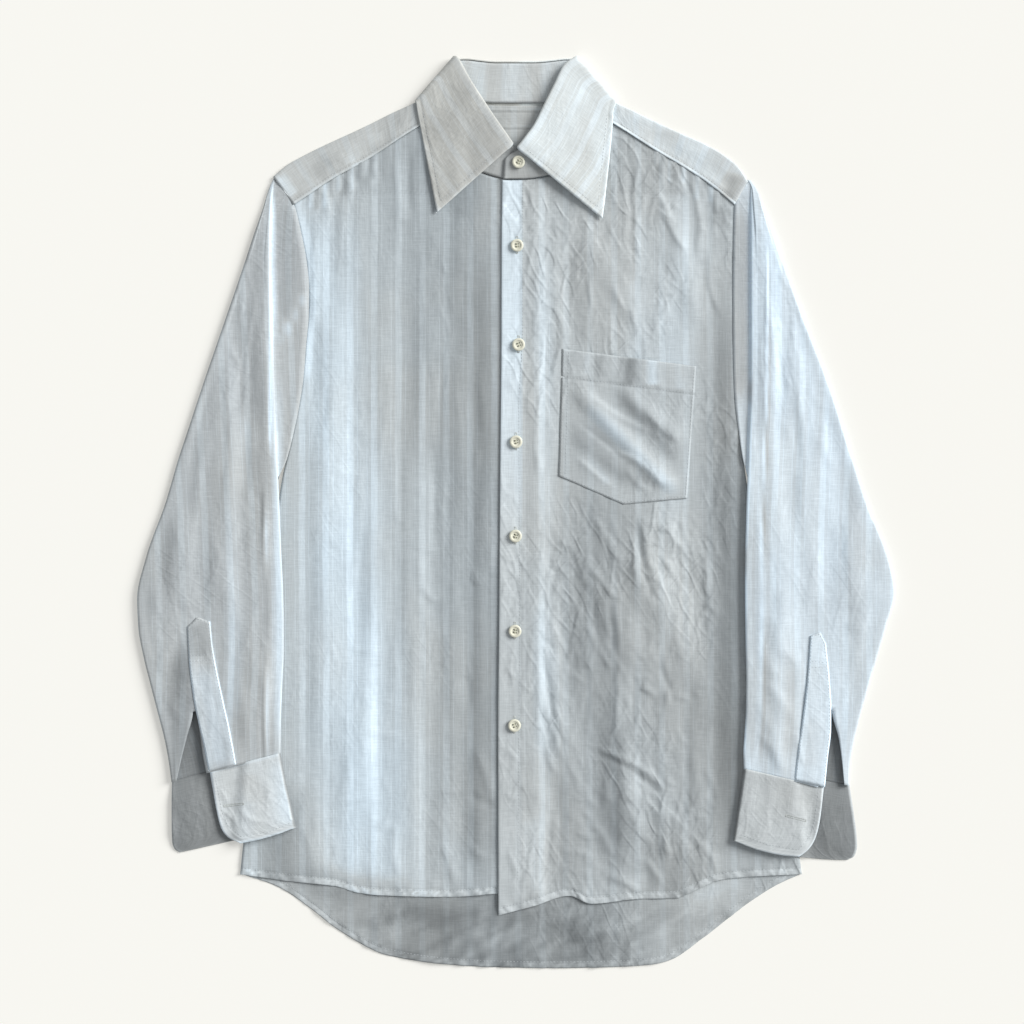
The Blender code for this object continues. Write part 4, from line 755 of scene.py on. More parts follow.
def makeBody():
    inset = np.array([0.0, -heights["gap"]])

    def sideEdge(side, top):
        def at(share):
            y = top + (body["sideFoot"] - top) * np.asarray(share, float)
            return np.stack([side * sideX(y, side), y], axis=-1)
        return at

    def twoEdges(first, second, share):
        def at(t):
            t = np.asarray(t, float)
            head = edgePoints(body[first], np.clip(t / share, 0, 1))
            tail = edgePoints(body[second], np.clip((t - share) / (1 - share), 0, 1))
            return np.where((t <= share)[..., None], head, tail)
        return at

    # Back, whose tail shows below the fronts
    top = body["backSeam"]
    ends = [side * float(sideX(top, side)) for side in (left, right)]
    down = hemShares(top, body["sideFoot"], 4.0)
    plan = patch(lambda s: np.stack([ends[0] + (ends[1] - ends[0]) * s, 0 * s + top], -1),
                 lambda s: edgePoints(body["tailHem"], s), sideEdge(left, top), sideEdge(right, top),
                 np.linspace(0, 1, 161), down) + inset
    x, y = placesOf(plan)
    tail = softStep((-348 - y) / 14)
    high = 0.5 + 0.1 * softNoise(x, y, (20, 20), 2)
    high = high + tail * (1.5 * creaseWeb(x, y, (34, 17), 68, 61)
                          + 1.3 * np.abs(softNoise(x, y, (22, 16), 6)))
    points = withHeight(plan, high)
    # tone is painted light and shade: darker towards the middle, bands from the rows, and lighter on the
    # crests of the hem's ripples
    tone = toneAt(x, y, 0.14 + 0.24 * softStep((np.abs(x + 10) - 60) / 110), body["tailPaintedShading"], 4)
    tone = tone + 0.09 * tail * softNoise(x + y, x - 2 * y, (30, 8), 33) - 0.03 * tail
    hem = pucker(points, tall=0.6)
    net = (points, plan.copy(), marked(0.6 * hem, tone + 0.24 * (hem - 0.4) * (hem > 0)))
    pieces = {"back": layCloth("back", [net], finishes["back"])}

    down = hemShares(body["top"], body["sideFoot"], body["spacing"])
    plan = patch(twoEdges("leftYokeSeam", "leftNeck", 0.6), lambda s: edgePoints(body["leftHem"], s),
                 sideEdge(left, body["top"]),
                 lambda s: np.stack([0 * s + body["underEdge"], 298.5 - 639.5 * s], -1),
                 np.linspace(0, 1, 97), down) + inset
    x, y = placesOf(plan)
    points = withHeight(plan, underFrontHeight(x, y))
    seamBand = softStep((8 - np.abs(x + sideX(y, left))) / 1.2) * softStep((y - 110) / 20)
    hem = pucker(points)
    doubled = np.maximum(np.maximum(hem, x > -14), 0.5 * seamBand)
    # tone is painted light and shade: a little lighter towards the side, bands from the rows, lighter along
    # the side seam and on the crests of the hem's ripples; the back yoke seam shows through as a faint line
    tone = toneAt(x, y, 0.42 + 0.09 * softStep((-70 - x) / 26) * softStep((220 - y) / 240),
                  underFront["paintedShading"], 2)
    tone = tone + 0.12 * seamBand - seenThrough(x, y)
    tone = tone + 0.28 * (hem - 0.3) * (hem > 0)
    marks = marked(doubled, tone)
    net = turnUnder(points, plan.copy(), marks, (2, 4), 0.8)
    pieces["front_right"] = layCloth("front_right", [net], finishes["frontRight"])

    down = hemShares(body["top"], body["sideFoot"], body["closeSpacing"])
    plan = patch(twoEdges("rightYokeSeam", "rightNeck", 0.55), lambda s: edgePoints(body["rightHem"], s),
                 sideEdge(right, body["top"]), lambda s: edgePoints(body["overEdge"], s),
                 np.concatenate([np.linspace(0, 0.9, 100)[:-1], np.linspace(0.9, 1, 18)]), down) + inset
    x, y = placesOf(plan)
    points = withHeight(plan, overFrontHeight(x, y))
    facing = softStep((overFront["facing"] + 1 - x) / 2)
    # tone is painted light and shade: darker lower down, bands from the rows, lighter over the facing and
    # on the crests of the hem's ripples; the back yoke seam shows through as a faint line
    tone = toneAt(x, y, 0.39 + 0.09 * softStep((y + 60) / 200), overFront["paintedShading"], 3)
    tone = tone + 0.24 * facing * softStep((y + 150) / 260) - seenThrough(x, y)
    hem = pucker(points)
    marks = marked(np.maximum(hem, 0.6 * facing), tone + 0.28 * (hem - 0.3) * (hem > 0))
    turned = [part.transpose(1, 0, 2) for part in turnUnder(points, plan.copy(), marks, (2, 4), 0.8)]
    net = turnUnder(*turned, (1, 3, 6, 9), 0.8)
    pieces["front_left"] = layCloth("front_left", [net], finishes["frontLeft"])
    return pieces


pieces = makeBody()

yoke = {
    "lap": 1.0, "lift": 1.1, "lines": (359.7, 344.4),
    "backShares": (0.0, 0.14, 0.28, 0.6, 1.0), "frontShares": (0.0, 0.3, 0.65, 1.0), "middleX": 68.0,
    # bands of painted light and shade on the yoke
    "paintedShading": [(-214, 304, -198, 284, 0.30, 5), (-150, 322, -118, 342, 0.14, 8),
              (-184, 306, -166, 318, -0.12, 9),
              (199, 306, 192, 280, -0.42, 8), (168, 312, 140, 330, 0.10, 9),
              (128, 334, 104, 348, -0.10, 8)],
    "cut": (0.45, 0.13), "restsOn": ["collar_leaf", "front_left", "front_right"]}


def makeYoke():
    # from the front seams over the shoulders to the straight seam across the back
    def leg(seamRows, shoulderRows, side):
        shares = np.linspace(0, 1, 11)
        seam, fold = edgePoints(seamRows, shares), edgePoints(shoulderRows, shares)
        arm = float(armholeX(body["backSeam"], side))
        foot = np.stack([side * (arm + (yoke["middleX"] - arm) * shares),
                         0 * shares + body["backSeam"]], -1)
        way = fold - seam
        way = way / np.linalg.norm(way, axis=1)[:, None]
        hinge = fold - way * (heights["shoulderPuff"] / 2 + 0.6)
        columns = []
        for share in yoke["frontShares"]:
            plan = seam - way * yoke["lap"] + (hinge - seam + way * yoke["lap"]) * share
            high = heights["front"] + (heights["back"] + heights["shoulderPuff"]
                                       - heights["front"]) * softStep(share)
            high = high + yoke["lift"] * (1 - share) ** 4
            high = high + neckLift(plan[:, 0], plan[:, 1], heights["neckSpare"] * (1 - share))
            columns.append(np.column_stack([plan, high]))
        radius = heights["shoulderPuff"] / 2
        for turn in np.radians((45, 90, 135)):
            plan = hinge + way * radius * np.sin(turn)
            high = heights["back"] + radius * (1 + np.cos(turn)) + neckLift(hinge[:, 0], hinge[:, 1])
            columns.append(np.column_stack([plan, high]))
        for share in yoke["backShares"]:
            plan = hinge + (foot - hinge) * share
            edge = side * armholeX(plan[0, 1], side) - plan[0, 0]
            plan[:, 0] += edge * (1 - shares) ** 3 * (share > 0)
            columns.append(np.column_stack([plan, heights["back"] + neckLift(plan[:, 0], plan[:, 1])]))
        return np.stack(columns, axis=1)

    shareSteps = [12, 12, 9, 9]
    legs = []
    for side, name in ((left, "left"), (right, "right")):
        coarse = leg(body[name + "YokeSeam"], body[name + "Shoulder"], side)
        legs.append(refine(coarse, [7] * 10, [6, 6, 5, 3, 3, 3, 3] + shareSteps))
    count = sum(shareSteps) + 1
    first, last = legs[0][-1, -count:], legs[1][-1, -count:]
    t = np.linspace(0, 1, 61)
    neck = edgePoints(body["backNeck"], t)
    share = np.interp(np.arange(count), np.cumsum([0] + shareSteps), yoke["backShares"])
    plan = first[None, :, :2] + (last - first)[None, :, :2] * t[:, None, None]
    dip = neck - (neck[0] + (neck[-1] - neck[0]) * t[:, None])
    plan = plan + dip[:, None] * ((1 - share) ** 1.5)[None, :, None]
    high = heights["back"] + neckLift(*placesOf(plan))
    middle = withHeight(plan, high)
    middle[0], middle[-1] = first, last
    nets = []
    for net in (legs[0], middle, legs[1]):
        flat = measured(net)
        x, y = placesOf(net)
        seams = 0 * x
        if net is not middle:
            across = flat[..., 0]
            seamSide = bell(across - 3.2, 1.2)
            inside = softStep(across / 3) * softStep((26 - across) / 8)
            net[..., 2] += 0.35 * inside * softNoise(x, y, (16, 11), 5) - 0.3 * seamSide
            net[..., 2] += 0.6 * inside * creaseWeb(x, y, (22, 14), 20, 9)
            seams = 0.10 * seamSide - 0.16 * bell(across - 1.0, 1.4)
        else:
            for lineY in yoke["lines"]:
                line = bell(y - lineY, 1.0)
                net[..., 2] -= 0.5 * line
                seams = seams + 0.16 * line - 0.10 * bell(y - lineY - 2.4, 1.2)
        inside = softStep((60 - np.abs(x)) / 20) * softStep((375 - y) / 5) * softStep((y - 320) / 10)
        # tone is painted light and shade: bands from the rows, lighter towards the viewer's right, painted
        # shade in the seam grooves with painted light beside them, and darker inside the neck
        tone = toneAt(x, y, 0.46, yoke["paintedShading"], 21) + 0.18 * softStep((x + 30) / 60)
        tone = tone - seams - 0.13 * inside + 0.07 * softNoise(x, y, (16, 12), 21)
        nets.append((net, flat, marked(0.3 + 0 * x, tone)))
    return layCloth("yoke", nets, finishes["yoke"])


pieces["yoke"] = makeYoke()

# Sections across a sleeve, from its head to its cuff: inner and outer folds, the slit's two edges
# as shares of the width, the puff as a share, and how much lower the upper layer ends
sleeves = {
    left: [
        (215.6, 300.5, 218.6, 299.5, 0.60, 0.72, 0.22, 0),
        (217.6, 293.0, 222.9, 289.0, 0.60, 0.72, 0.50, 0),
        (219.2, 276.0, 227.9, 273.0, 0.60, 0.72, 0.70, 0),
        (220.4, 250.0, 236.5, 248.0, 0.62, 0.72, 1.00, 0),
        (221.0, 220.0, 246.0, 219.0, 0.64, 0.72, 1.00, 0),
        (219.6, 185.0, 258.0, 184.0, 0.66, 0.73, 1.00, 0),
        (218.0, 150.0, 270.0, 149.0, 0.66, 0.73, 1.00, 0),
        (217.0, 117.0, 281.0, 117.0, 0.66, 0.73, 1.00, 0), (216.0, 85.0, 291.5, 85.0, 0.66, 0.73, 1.00, 0),
        (214.0, 45.0, 305.0, 44.0, 0.66, 0.73, 1.00, 0), (212.0, 10.0, 315.5, 8.0, 0.66, 0.73, 1.00, 0),
        (210.0, -40.0, 333.0, -41.0, 0.66, 0.73, 1.05, 0),
        (208.4, -75.0, 340.9, -78.0, 0.66, 0.72, 1.06, 0),
        (208.0, -100.0, 339.8, -104.0, 0.665, 0.72, 1.02, 0),
        (208.0, -124.0, 335.2, -130.0, 0.67, 0.72, 1.00, 0),
        (209.0, -150.0, 329.0, -155.0, 0.675, 0.72, 1.00, 0),
        (210.0, -172.0, 322.0, -182.0, 0.685, 0.715, 1.00, 0),
        (210.6, -190.0, 316.4, -204.0, 0.69, 0.80, 1.00, 0),
        (210.8, -205.0, 312.6, -224.0, 0.69, 0.88, 1.00, 0),
        (211.0, -216.7, 310.0, -243.0, 0.675, 0.948, 1.00, 0)],
    right: [
        (207.6, 298.8, 211.6, 298.0, 0.60, 0.72, 0.22, 0),
        (210.4, 291.0, 218.0, 288.0, 0.60, 0.72, 0.50, 0),
        (210.5, 272.0, 224.4, 270.0, 0.60, 0.72, 0.80, 0),
        (210.6, 245.0, 233.6, 244.0, 0.62, 0.72, 1.00, 0),
        (210.6, 205.0, 247.4, 205.0, 0.64, 0.72, 1.00, 0),
        (210.6, 170.0, 260.5, 170.0, 0.66, 0.73, 1.00, 0),
        (210.6, 140.0, 272.0, 140.0, 0.66, 0.73, 1.00, 0),
        (210.6, 112.0, 282.7, 112.0, 0.66, 0.73, 1.00, 0), (209.6, 84.0, 291.8, 83.0, 0.66, 0.73, 1.00, 0),
        (208.0, 48.0, 303.2, 47.0, 0.66, 0.73, 1.00, 0), (206.5, 10.0, 315.5, 8.0, 0.66, 0.73, 1.00, 0),
        (205.3, -40.0, 334.5, -40.0, 0.66, 0.73, 1.05, 0),
        (205.0, -72.0, 340.9, -72.0, 0.66, 0.72, 1.06, 0),
        (205.4, -102.0, 333.5, -100.0, 0.665, 0.72, 1.02, 0),
        (205.8, -127.0, 325.5, -128.0, 0.67, 0.72, 1.00, 0),
        (206.2, -150.0, 318.5, -152.0, 0.68, 0.72, 1.00, 0),
        (206.0, -175.0, 311.0, -178.0, 0.71, 0.74, 1.00, 0),
        (204.6, -200.0, 304.0, -206.0, 0.73, 0.86, 1.00, 1.5),
        (203.6, -216.0, 300.6, -227.0, 0.73, 0.92, 1.00, 3.5),
        (204.0, -230.5, 299.7, -246.0, 0.70, 0.948, 1.00, 5.4)],
    "folds": [(228, 210, 236, -60, 1.0, 9), (262, 60, 262, -88, 1.6, 13), (300, 10, 296, -92, 1.4, 12),
              (236, -80, 236, -215, 1.2, 9), (324, -60, 305, -112, 1.0, 8)],
    "creases": {
        left: [(-232, 200, -246, 60, 0.6, 5, 2), (-256, 150, -262, -10, 0.7, 6, 0),
               (-282, 60, -290, -60, 0.8, 6, 2),
               (-306, 0, -312, -90, 0.8, 7, 0), (-300, -100, -318, -150, 1.1, 6, 3),
               (-322, -60, -326, -130, 0.8, 6, 0),
               (-240, 40, -238, -90, 0.6, 6, 0), (-226, -120, -232, -205, 0.9, 5, 0),
               (-244, -150, -240, -218, 0.8, 5, 2),
               (-268, -20, -276, -90, 0.6, 6, 0), (-300, -150, -304, -190, 0.9, 6, 2)],
        right: [(226, 220, 238, 80, 0.6, 5, 0), (246, 170, 262, 30, 0.7, 6, 2),
                (274, 90, 288, -30, 0.7, 7, 0),
                (228, -90, 250, -140, 1.0, 7, 3), (236, -60, 246, -110, 0.9, 6, 0),
                (296, 0, 304, -90, 0.7, 6, 0),
                (222, -160, 238, -226, 0.9, 7, 2), (248, -120, 256, -170, 0.8, 5, 0),
                (312, -70, 300, -160, 0.8, 7, 0),
                (268, -20, 262, -100, 0.7, 6, 0), (226, 60, 228, -60, 0.6, 5, 0)]},
    # bands of painted light and shade on each sleeve: highlights on the folds and seam lines, shade in the
    # hollows; X and Y of both ends, strength and half width
    "paintedShading": {
        left: [(-219.6, 320, -220.8, 40, 0.9, 1.7), (-205, 290, -207, 165, -0.28, 7),
               (-213, 148, -188, 200, 0.35, 3),
               (-214, 150, -213, -225, 0.38, 5), (-227, 200, -228, -215, -0.16, 5),
               (-304, -110, -292, -255, -0.42, 14),
               (-245, 40, -250, -200, 0.14, 18), (-231, 270, -238, 70, -0.24, 8),
               (-196, 262, -200, 130, -0.06, 8), (-300, 120, -312, -90, -0.1, 14)],
        right: [(210, 40, 209, -235, -0.24, 5), (211.2, 297, 211.0, 110, 1.5, 1.3),
                (211.0, 110, 205.9, -40, 1.3, 1.3),
                (205.9, -40, 204.8, -225, 1.0, 1.2), (250, 240, 300, -80, 0.1, 24),
                (224, 290, 238, 80, 0.2, 10), (240, -120, 236, -225, -0.1, 18),
                (201, 300, 201, 90, -0.42, 7), (222, 290, 232, 150, 0.14, 4),
                (290, 60, 318, -60, -0.12, 14)]},
    # base tone: painted shade on the viewer's left sleeve, painted light on the right one
    "base": {left: 0.47, right: 0.72}, "slitColumn": 11, "slitTop": {left: -172.0, right: -175.0},
    "seamAway": {left: 12.0, right: 13.0},
    "seamTop": {left: 60.0, right: 250.0},
    "cut": (0.282, 0.553), "restsOn": ["back", "front_left", "front_right"]}


for side, area in ((left, (-322, -226, -190, 230)), (right, (226, 322, -210, 210))):
    sleeves["creases"][side] += smallCreases(54 + side, 40, area, -84 - 8 * side, 0.5)
sleeves["creases"][right] += [(219, -192, 246, -238, 1.3, 6, 3), (226, -146, 252, -190, 1.0, 5, 2),
                              (250, -196, 262, -232, 0.9, 4, 2), (216, -120, 236, -150, 0.7, 4, 0)]


def sleeveRows(side):
    # control points of each section: X, Y, Z and whether the point is on the upper layer
    table = sleeves[side]
    places = [table[0][1], table[1][1], *np.linspace(body["top"], 22.5, 11)]
    keys = [-row[1] for row in table]
    cuts = [[float(curve(keys, [row[k] for row in table], -y)) for k in range(8)] for y in places]
    cuts += [row for row in table if row[1] < 17.5]
    edge, step = heights["wall"] / 2, heights["step"]
    rows = []
    for innerX, innerY, outerX, outerY, slitIn, slitOut, puffShare, drop in cuts:
        inner, outer = np.array([side * innerX, innerY]), np.array([side * outerX, outerY])
        wide = np.linalg.norm(outer - inner)
        way = (outer - inner) / wide
        puff = heights["puff"] * puffShare
        seam = innerX - armholeX(innerY, side) - heights["gap"]
        tucked = seam < 1
        turn = puff / 2
        if tucked:
            front = [(2.6, step), (1.9, step + 0.06), (1.2, step + 0.3)]
        else:
            front = [(-seam - 1, step + 0.45), (-0.45 * seam, step), (edge - 0.9, step + 0.05)]
        front += [(edge + 0.05, step + 0.26 * (puff - step)), (edge, step + 0.62 * (puff - step)),
                  (edge + 0.9, step + 0.94 * (puff - step))]
        slitStart, slitEnd, far = slitIn * wide, slitOut * wide, wide - edge - turn
        first = edge + min(3.0, 0.25 * slitStart)
        top = [(first + (slitStart - first) * share, puff) for share in (0, 0.18, 0.38, 0.58, 0.8, 1)]
        top += [(slitEnd, puff), ((slitEnd + far) / 2, puff), (far, puff)]
        bend = [(far + turn * np.cos(a), turn + turn * np.sin(a)) for a in np.radians((52, 18, -18, -52))]
        last = edge + 1.2 if tucked else -seam
        reach = sideX(innerY, side) + body["beside"] - innerX
        over = np.clip(reach, last + 3, far - 0.3 * (far - last))
        besideIt = np.clip(reach + body["ramp"] - body["beside"], last + 0.4 * (far - last),
                           far - 0.15 * (far - last))
        spots = front + top + bend + [(q, 0.0) for q in (far, besideIt, over, last)]
        place = np.array([inner + (way if q > 0 else np.array([side, 0.0])) * q for q, _ in spots])
        high = np.array([h for _, h in spots])
        count = np.arange(len(spots))
        upper = count < len(front) + len(top)
        place[:, 1] -= (drop * (count <= sleeves["slitColumn"])
                        * np.clip([q / slitStart for q, _ in spots], 0, 1))
        base = np.where(upper, restHeight(place[:, 0], place[:, 1], side, body["sleeveRamp"]),
                        restHeight(place[:, 0], place[:, 1], side, body["ramp"])) + edge
        inside = ((count > len(front)) & (count < len(front) + len(top) - 1)).astype(float)
        rows.append(np.column_stack([place, base + high, inside]))
    return np.array(rows)


def sleeveRelief(x, y, side):
    # soft folds and creases of a sleeve's upper layer
    high = foldHeight(np.abs(x), y, sleeves["folds"])
    high = high + creaseHeight(x, y, sleeves["creases"][side])
    high = high + 0.9 * softNoise(x, y, (12, 80), 15 + side)
    high = (high + 0.3 * softNoise(x, y, (6, 50), 13 + side)
            + 0.4 * creaseWeb(x, y, (17, 60), side * 10, 23 + side))
    return high


def makeSleeve(side):
    coarse = sleeveRows(side)
    rowSteps = evenSteps(coarse, 2.6)
    columnSteps = evenSteps(coarse.transpose(1, 0, 2), 2.3, 2)
    columnSteps[:5] = [3, 2, 2, 2, 2]
    columnSteps[-3:] = [5, 3, 9]
    net = refine(coarse, rowSteps, columnSteps)
    firstRow = int(np.searchsorted(-net[:, sum(columnSteps[:7]), 1], -sleeves["slitTop"][side]))
    slitFrom = sum(columnSteps[:sleeves["slitColumn"]])
    slitTo = slitFrom + columnSteps[sleeves["slitColumn"]]
    flat = measured(net)
    flat[..., 0] -= flat[:, sum(columnSteps[:5]), 0][:, None]
    points = net[..., :3].copy()
    upper = softStep(net[..., 3])
    points[..., 2] += upper * sleeveRelief(*placesOf(points), side)
    seam = sleeves["seamAway"][side]
    shown = softStep((sleeves["seamTop"][side] - points[..., 1]) / 60) * upper
    away = flat[..., 0] - seam
    line = bell(away, 1.0) * shown
    points[..., 2] += 0.8 * line - 0.4 * bell(away - 2.2, 1.2) * shown
    doubled = 0.35 * ((away < 0) & (flat[..., 0] > -2)) * shown
    # tone is painted light and shade: bands from the rows, a highlight on the felled seam line with shade
    # beside it, and deep painted shade on the layer underneath
    tone = toneAt(*placesOf(points), sleeves["base"][side], sleeves["paintedShading"][side], 5 + side)
    tone = tone + 0.09 * softNoise(flat[..., 0], flat[..., 1], (8, 130), 61 + side) * upper
    tone = tone + 0.4 * line - 0.26 * bell(away - 2.4, 1.4) * shown
    tone = np.where(np.arange(tone.shape[1]) > sum(columnSteps[:18]), 0.06, tone)
    return layCloth("sleeve_" + worn[side], [(points, flat, marked(doubled, tone))], finishes["sleeve"],
                    missing=lambda row, column: slitFrom <= column < slitTo and row >= firstRow)


gauntlets = {
    left: [(295, -103, 274.5, -98.5), (294.2, -120, 272.7, -118), (293, -138, 269.5, -137),
           (288.5, -172, 262, -172), (283.5, -195, 257, -194), (279.5, -212, 253.6, -211),
           (275.6, -232.7, 250.9, -226.2)],
    right: [(278, -118, 264.4, -111), (280.0, -136, 262.8, -134), (281.8, -156, 261, -154),
            (282.8, -176, 258.6, -174), (282.6, -196, 255.6, -196), (280, -218, 252.4, -218),
            (277.0, -246.9, 250.0, -240.4)],
    # bands of painted light and shade on each strip
    "paintedShading": {left: [(-290, -96, -284, -132, -0.3, 12), (-283, -128, -262, -235, 0.3, 12)],
              right: [(270, -106, 270, -140, 0.1, 12), (262, -180, 262, -232, -0.1, 12)]},
    "point": {left: (-285.5, -94.5), right: (272.5, -108.0)},
    "cut": (0.028, 0.134)}


def sleeveTop(x, y, side):
    table = sleeves[side]
    share = curve([-row[1] for row in table], [row[6] for row in table], -np.asarray(y))
    return (restHeight(x, y, side, body["sleeveRamp"]) + heights["wall"] / 2 + heights["puff"] * share
            + foldHeight(np.abs(x), y, sleeves["folds"]))


def makeGauntlet(side):
    # the strip that binds the slit, pointed at its top
    rows = []
    for k, (outerX, outerY, innerX, innerY) in enumerate(gauntlets[side]):
        outer, inner = np.array([side * outerX, outerY]), np.array([side * innerX, innerY])
        middle = np.array(gauntlets["point"][side]) if k == 0 else (outer + inner) / 2
        rows.append([outer, (outer + middle) / 2, middle, (middle + inner) / 2, inner])
    plan = np.array(rows)
    high = sleeveTop(*placesOf(plan), side) + heights["doubleCloth"]
    net = refine(withHeight(plan, high), [8, 9, 16, 11, 9, 9], [4] * 4)
    relief = np.maximum(sleeveRelief(*placesOf(net), side)
                        - foldHeight(np.abs(net[..., 0]), net[..., 1], sleeves["folds"]), 0)
    net[..., 2] += relief
    flat = measured(net)
    edges = bell(flat[..., 0], 1.2) + bell(flat[..., 0] - flat[:, -1:, 0], 1.2)
    net[..., 2] -= 0.2 + 0.3 * edges + 0.4 * softStep(1 - (flat[..., 1] - flat[-1:, :, 1]) / 6)
    # tone is painted light and shade: its sleeve's base level, bands from the rows and painted highlights
    # along both edges
    tone = toneAt(*placesOf(net), sleeves["base"][side], gauntlets["paintedShading"][side], 8) + 0.45 * edges
    return layCloth("gauntlet_" + worn[side], [(net, flat, marked(0.25 + 0 * tone, tone))],
                    finishes["sleeve"], double=True)


# Cuffs from the sleeve down: share of the depth, the flap's free end, the fold and the other end
cuffs = {
    left: [(0.00, 275.0, -234.1, 211.0, -217.0, 309.4, -243.3),
           (0.35, 272.2, -249.5, 206.4, -240.0, 309.4, -264.0),
           (0.70, 268.4, -270.0, 201.4, -262.5, 309.3, -286.0),
           (0.88, 264.6, -284.2, 198.8, -275.0, 309.0, -297.0),
           (0.95, 257.6, -292.6, 197.9, -279.4, 306.9, -303.2),
           (1.00, 247.0, -297.0, 197.0, -283.0, 302.5, -306.2)],
    right: [(0.00, 276.3, -248.0, 204.0, -231.0, 299.9, -246.6),
            (0.35, 274.6, -262.0, 200.8, -254.0, 303.0, -268.0),
            (0.70, 272.0, -280.0, 197.4, -276.0, 305.8, -288.5),
            (0.88, 268.4, -293.6, 195.6, -288.0, 306.6, -300.6),
            (0.95, 262.6, -302.4, 195.0, -291.6, 304.3, -309.3),
            (1.00, 254.0, -309.0, 194.4, -295.0, 298.0, -313.0)],
    "bow": {left: (1.5, 0.0), right: (3.0, 4.5)}, "overMost": 0.62, "besideMost": 0.78,
    "rest": (0.4, 0.75, 1.0), "lap": 1.2,
    "creases": {
        left: [(-246, -266, -222, -280, 0.8, 4, 2), (-262, -268, -250, -280, 0.6, 3, 0),
               (-226, -236, -216, -262, 0.5, 5, 0),
               (-268, -250, -256, -262, 0.5, 3, 0)],
        right: [(214, -240, 208, -290, 0.3, 5, 0), (236, -252, 232, -300, 0.3, 5, 0),
                (250, -284, 262, -300, 0.4, 4, 0)]},
    # bands of painted light and shade, then the base level of painted light and shade for each cuff
    "paintedShading": {left: [(-206, -216, -200, -285, 0.3, 12), (-240, -232, -236, -262, -0.1, 8)],
              right: [(233, -238, 230, -305, 0.12, 5), (262, -255, 258, -310, 0.06, 8)]},
    "base": {left: 0.53, right: 0.38}, "cut": (0.187, 0.07)}


def makeCuff(side):
    turn = heights["cuffPuff"] / 2
    rows = []
    for down, flapX, flapY, foldX, foldY, endX, endY in cuffs[side]:
        flap, fold, end = (np.array([side * x, y])
                           for x, y in ((flapX, flapY), (foldX, foldY), (endX, endY)))
        place = []
        for ends, level, bow in ((flap, heights["cuffPuff"], 0), (end, 0.0, 1)):
            way = (ends - fold) / np.linalg.norm(ends - fold)
            hinge = fold + way * (turn + heights["doubleWall"] / 2)
            drop = cuffs["bow"][side][bow] * down ** 3
            across = abs(ends[0] - hinge[0])
            reach = float(sideX(hinge[1], side)) - abs(hinge[0])
            over = min(abs(reach + body["beside"]) / across, cuffs["overMost"])
            besideIt = min((body["ramp"] + abs(reach)) / across, cuffs["besideMost"])
            shares = (0, over / 2, over, besideIt, *(besideIt + s * (1 - besideIt) for s in cuffs["rest"]))
            run = [(*(hinge + (ends - hinge) * s - np.array([0, drop * 4 * s * (1 - s)])), level, 1 - bow)
                   for s in shares]
            bend = [(*(hinge - way * turn * np.sin(a)), turn + (turn if bow == 0 else -turn) * np.cos(a), 0)
                    for a in np.radians((45, 90))]
            place += run[::-1] + bend if bow == 0 else [bend[0]] + run
        place = np.array(place)
        place[:, 1] += cuffs["lap"] * (1 - down) ** 4
        place[:, 2] += 0.7 * (1 - down) ** 8 * place[:, 3]
        place[:, 2] += restHeight(place[:, 0], place[:, 1], side, body["ramp"]) + heights["doubleWall"] / 2
        rows.append(place)
    coarse = np.array(rows)
    columnSteps = evenSteps(coarse.transpose(1, 0, 2), 2.2, 2)
    net = refine(coarse, evenSteps(coarse, 1.6), columnSteps)
    flat = measured(net)
    points = net[..., :3].copy()
    x, y = placesOf(points)
    upper = softStep(net[..., 3])
    points[..., 2] += upper * (creaseHeight(x, y, cuffs["creases"][side])
                               + 0.15 * softNoise(x, y, (14, 10), 4))
    fromTop, fromFoot = -flat[..., 1], flat[..., 1] - flat[-1:, :, 1]
    groove = bell(fromFoot - 5, 1.1) + bell(fromTop - 2.5, 1.1)
    points[..., 2] -= 0.28 * upper * groove
    ends = bell(flat[..., 0], 1.3) + bell(flat[:, -1:, 0] - flat[..., 0], 1.6)
    edgeHighlight = ends + bell(fromFoot, 1.3)
    # tone is painted light and shade: a base level on the upper layer only, so the layer underneath is in
    # deep painted shade, painted highlights on the ends, along the foot and just below the top, and bands
    # from the rows
    tone = cuffs["base"][side] * upper + 0.04 * softNoise(x, y, (12, 30), 6) + 0.28 * edgeHighlight
    tone = tone + toneAt(x, y, 0, cuffs["paintedShading"][side], 3) * upper
    tone = tone + 0.2 * upper * bell(fromTop - 0.8, 1.0) - 0.05 * (1 - upper)
    tone = tone + 0.2 * (1 - upper) * ends
    return layCloth("cuff_" + worn[side], [(points, flat, marked(0.2 + 0 * x, tone))],
                    finishes["cuff"], double=True)


for side in (left, right):
    pieces["sleeve_" + worn[side]] = makeSleeve(side)
    pieces["gauntlet_" + worn[side]] = makeGauntlet(side)
    pieces["cuff_" + worn[side]] = makeCuff(side)

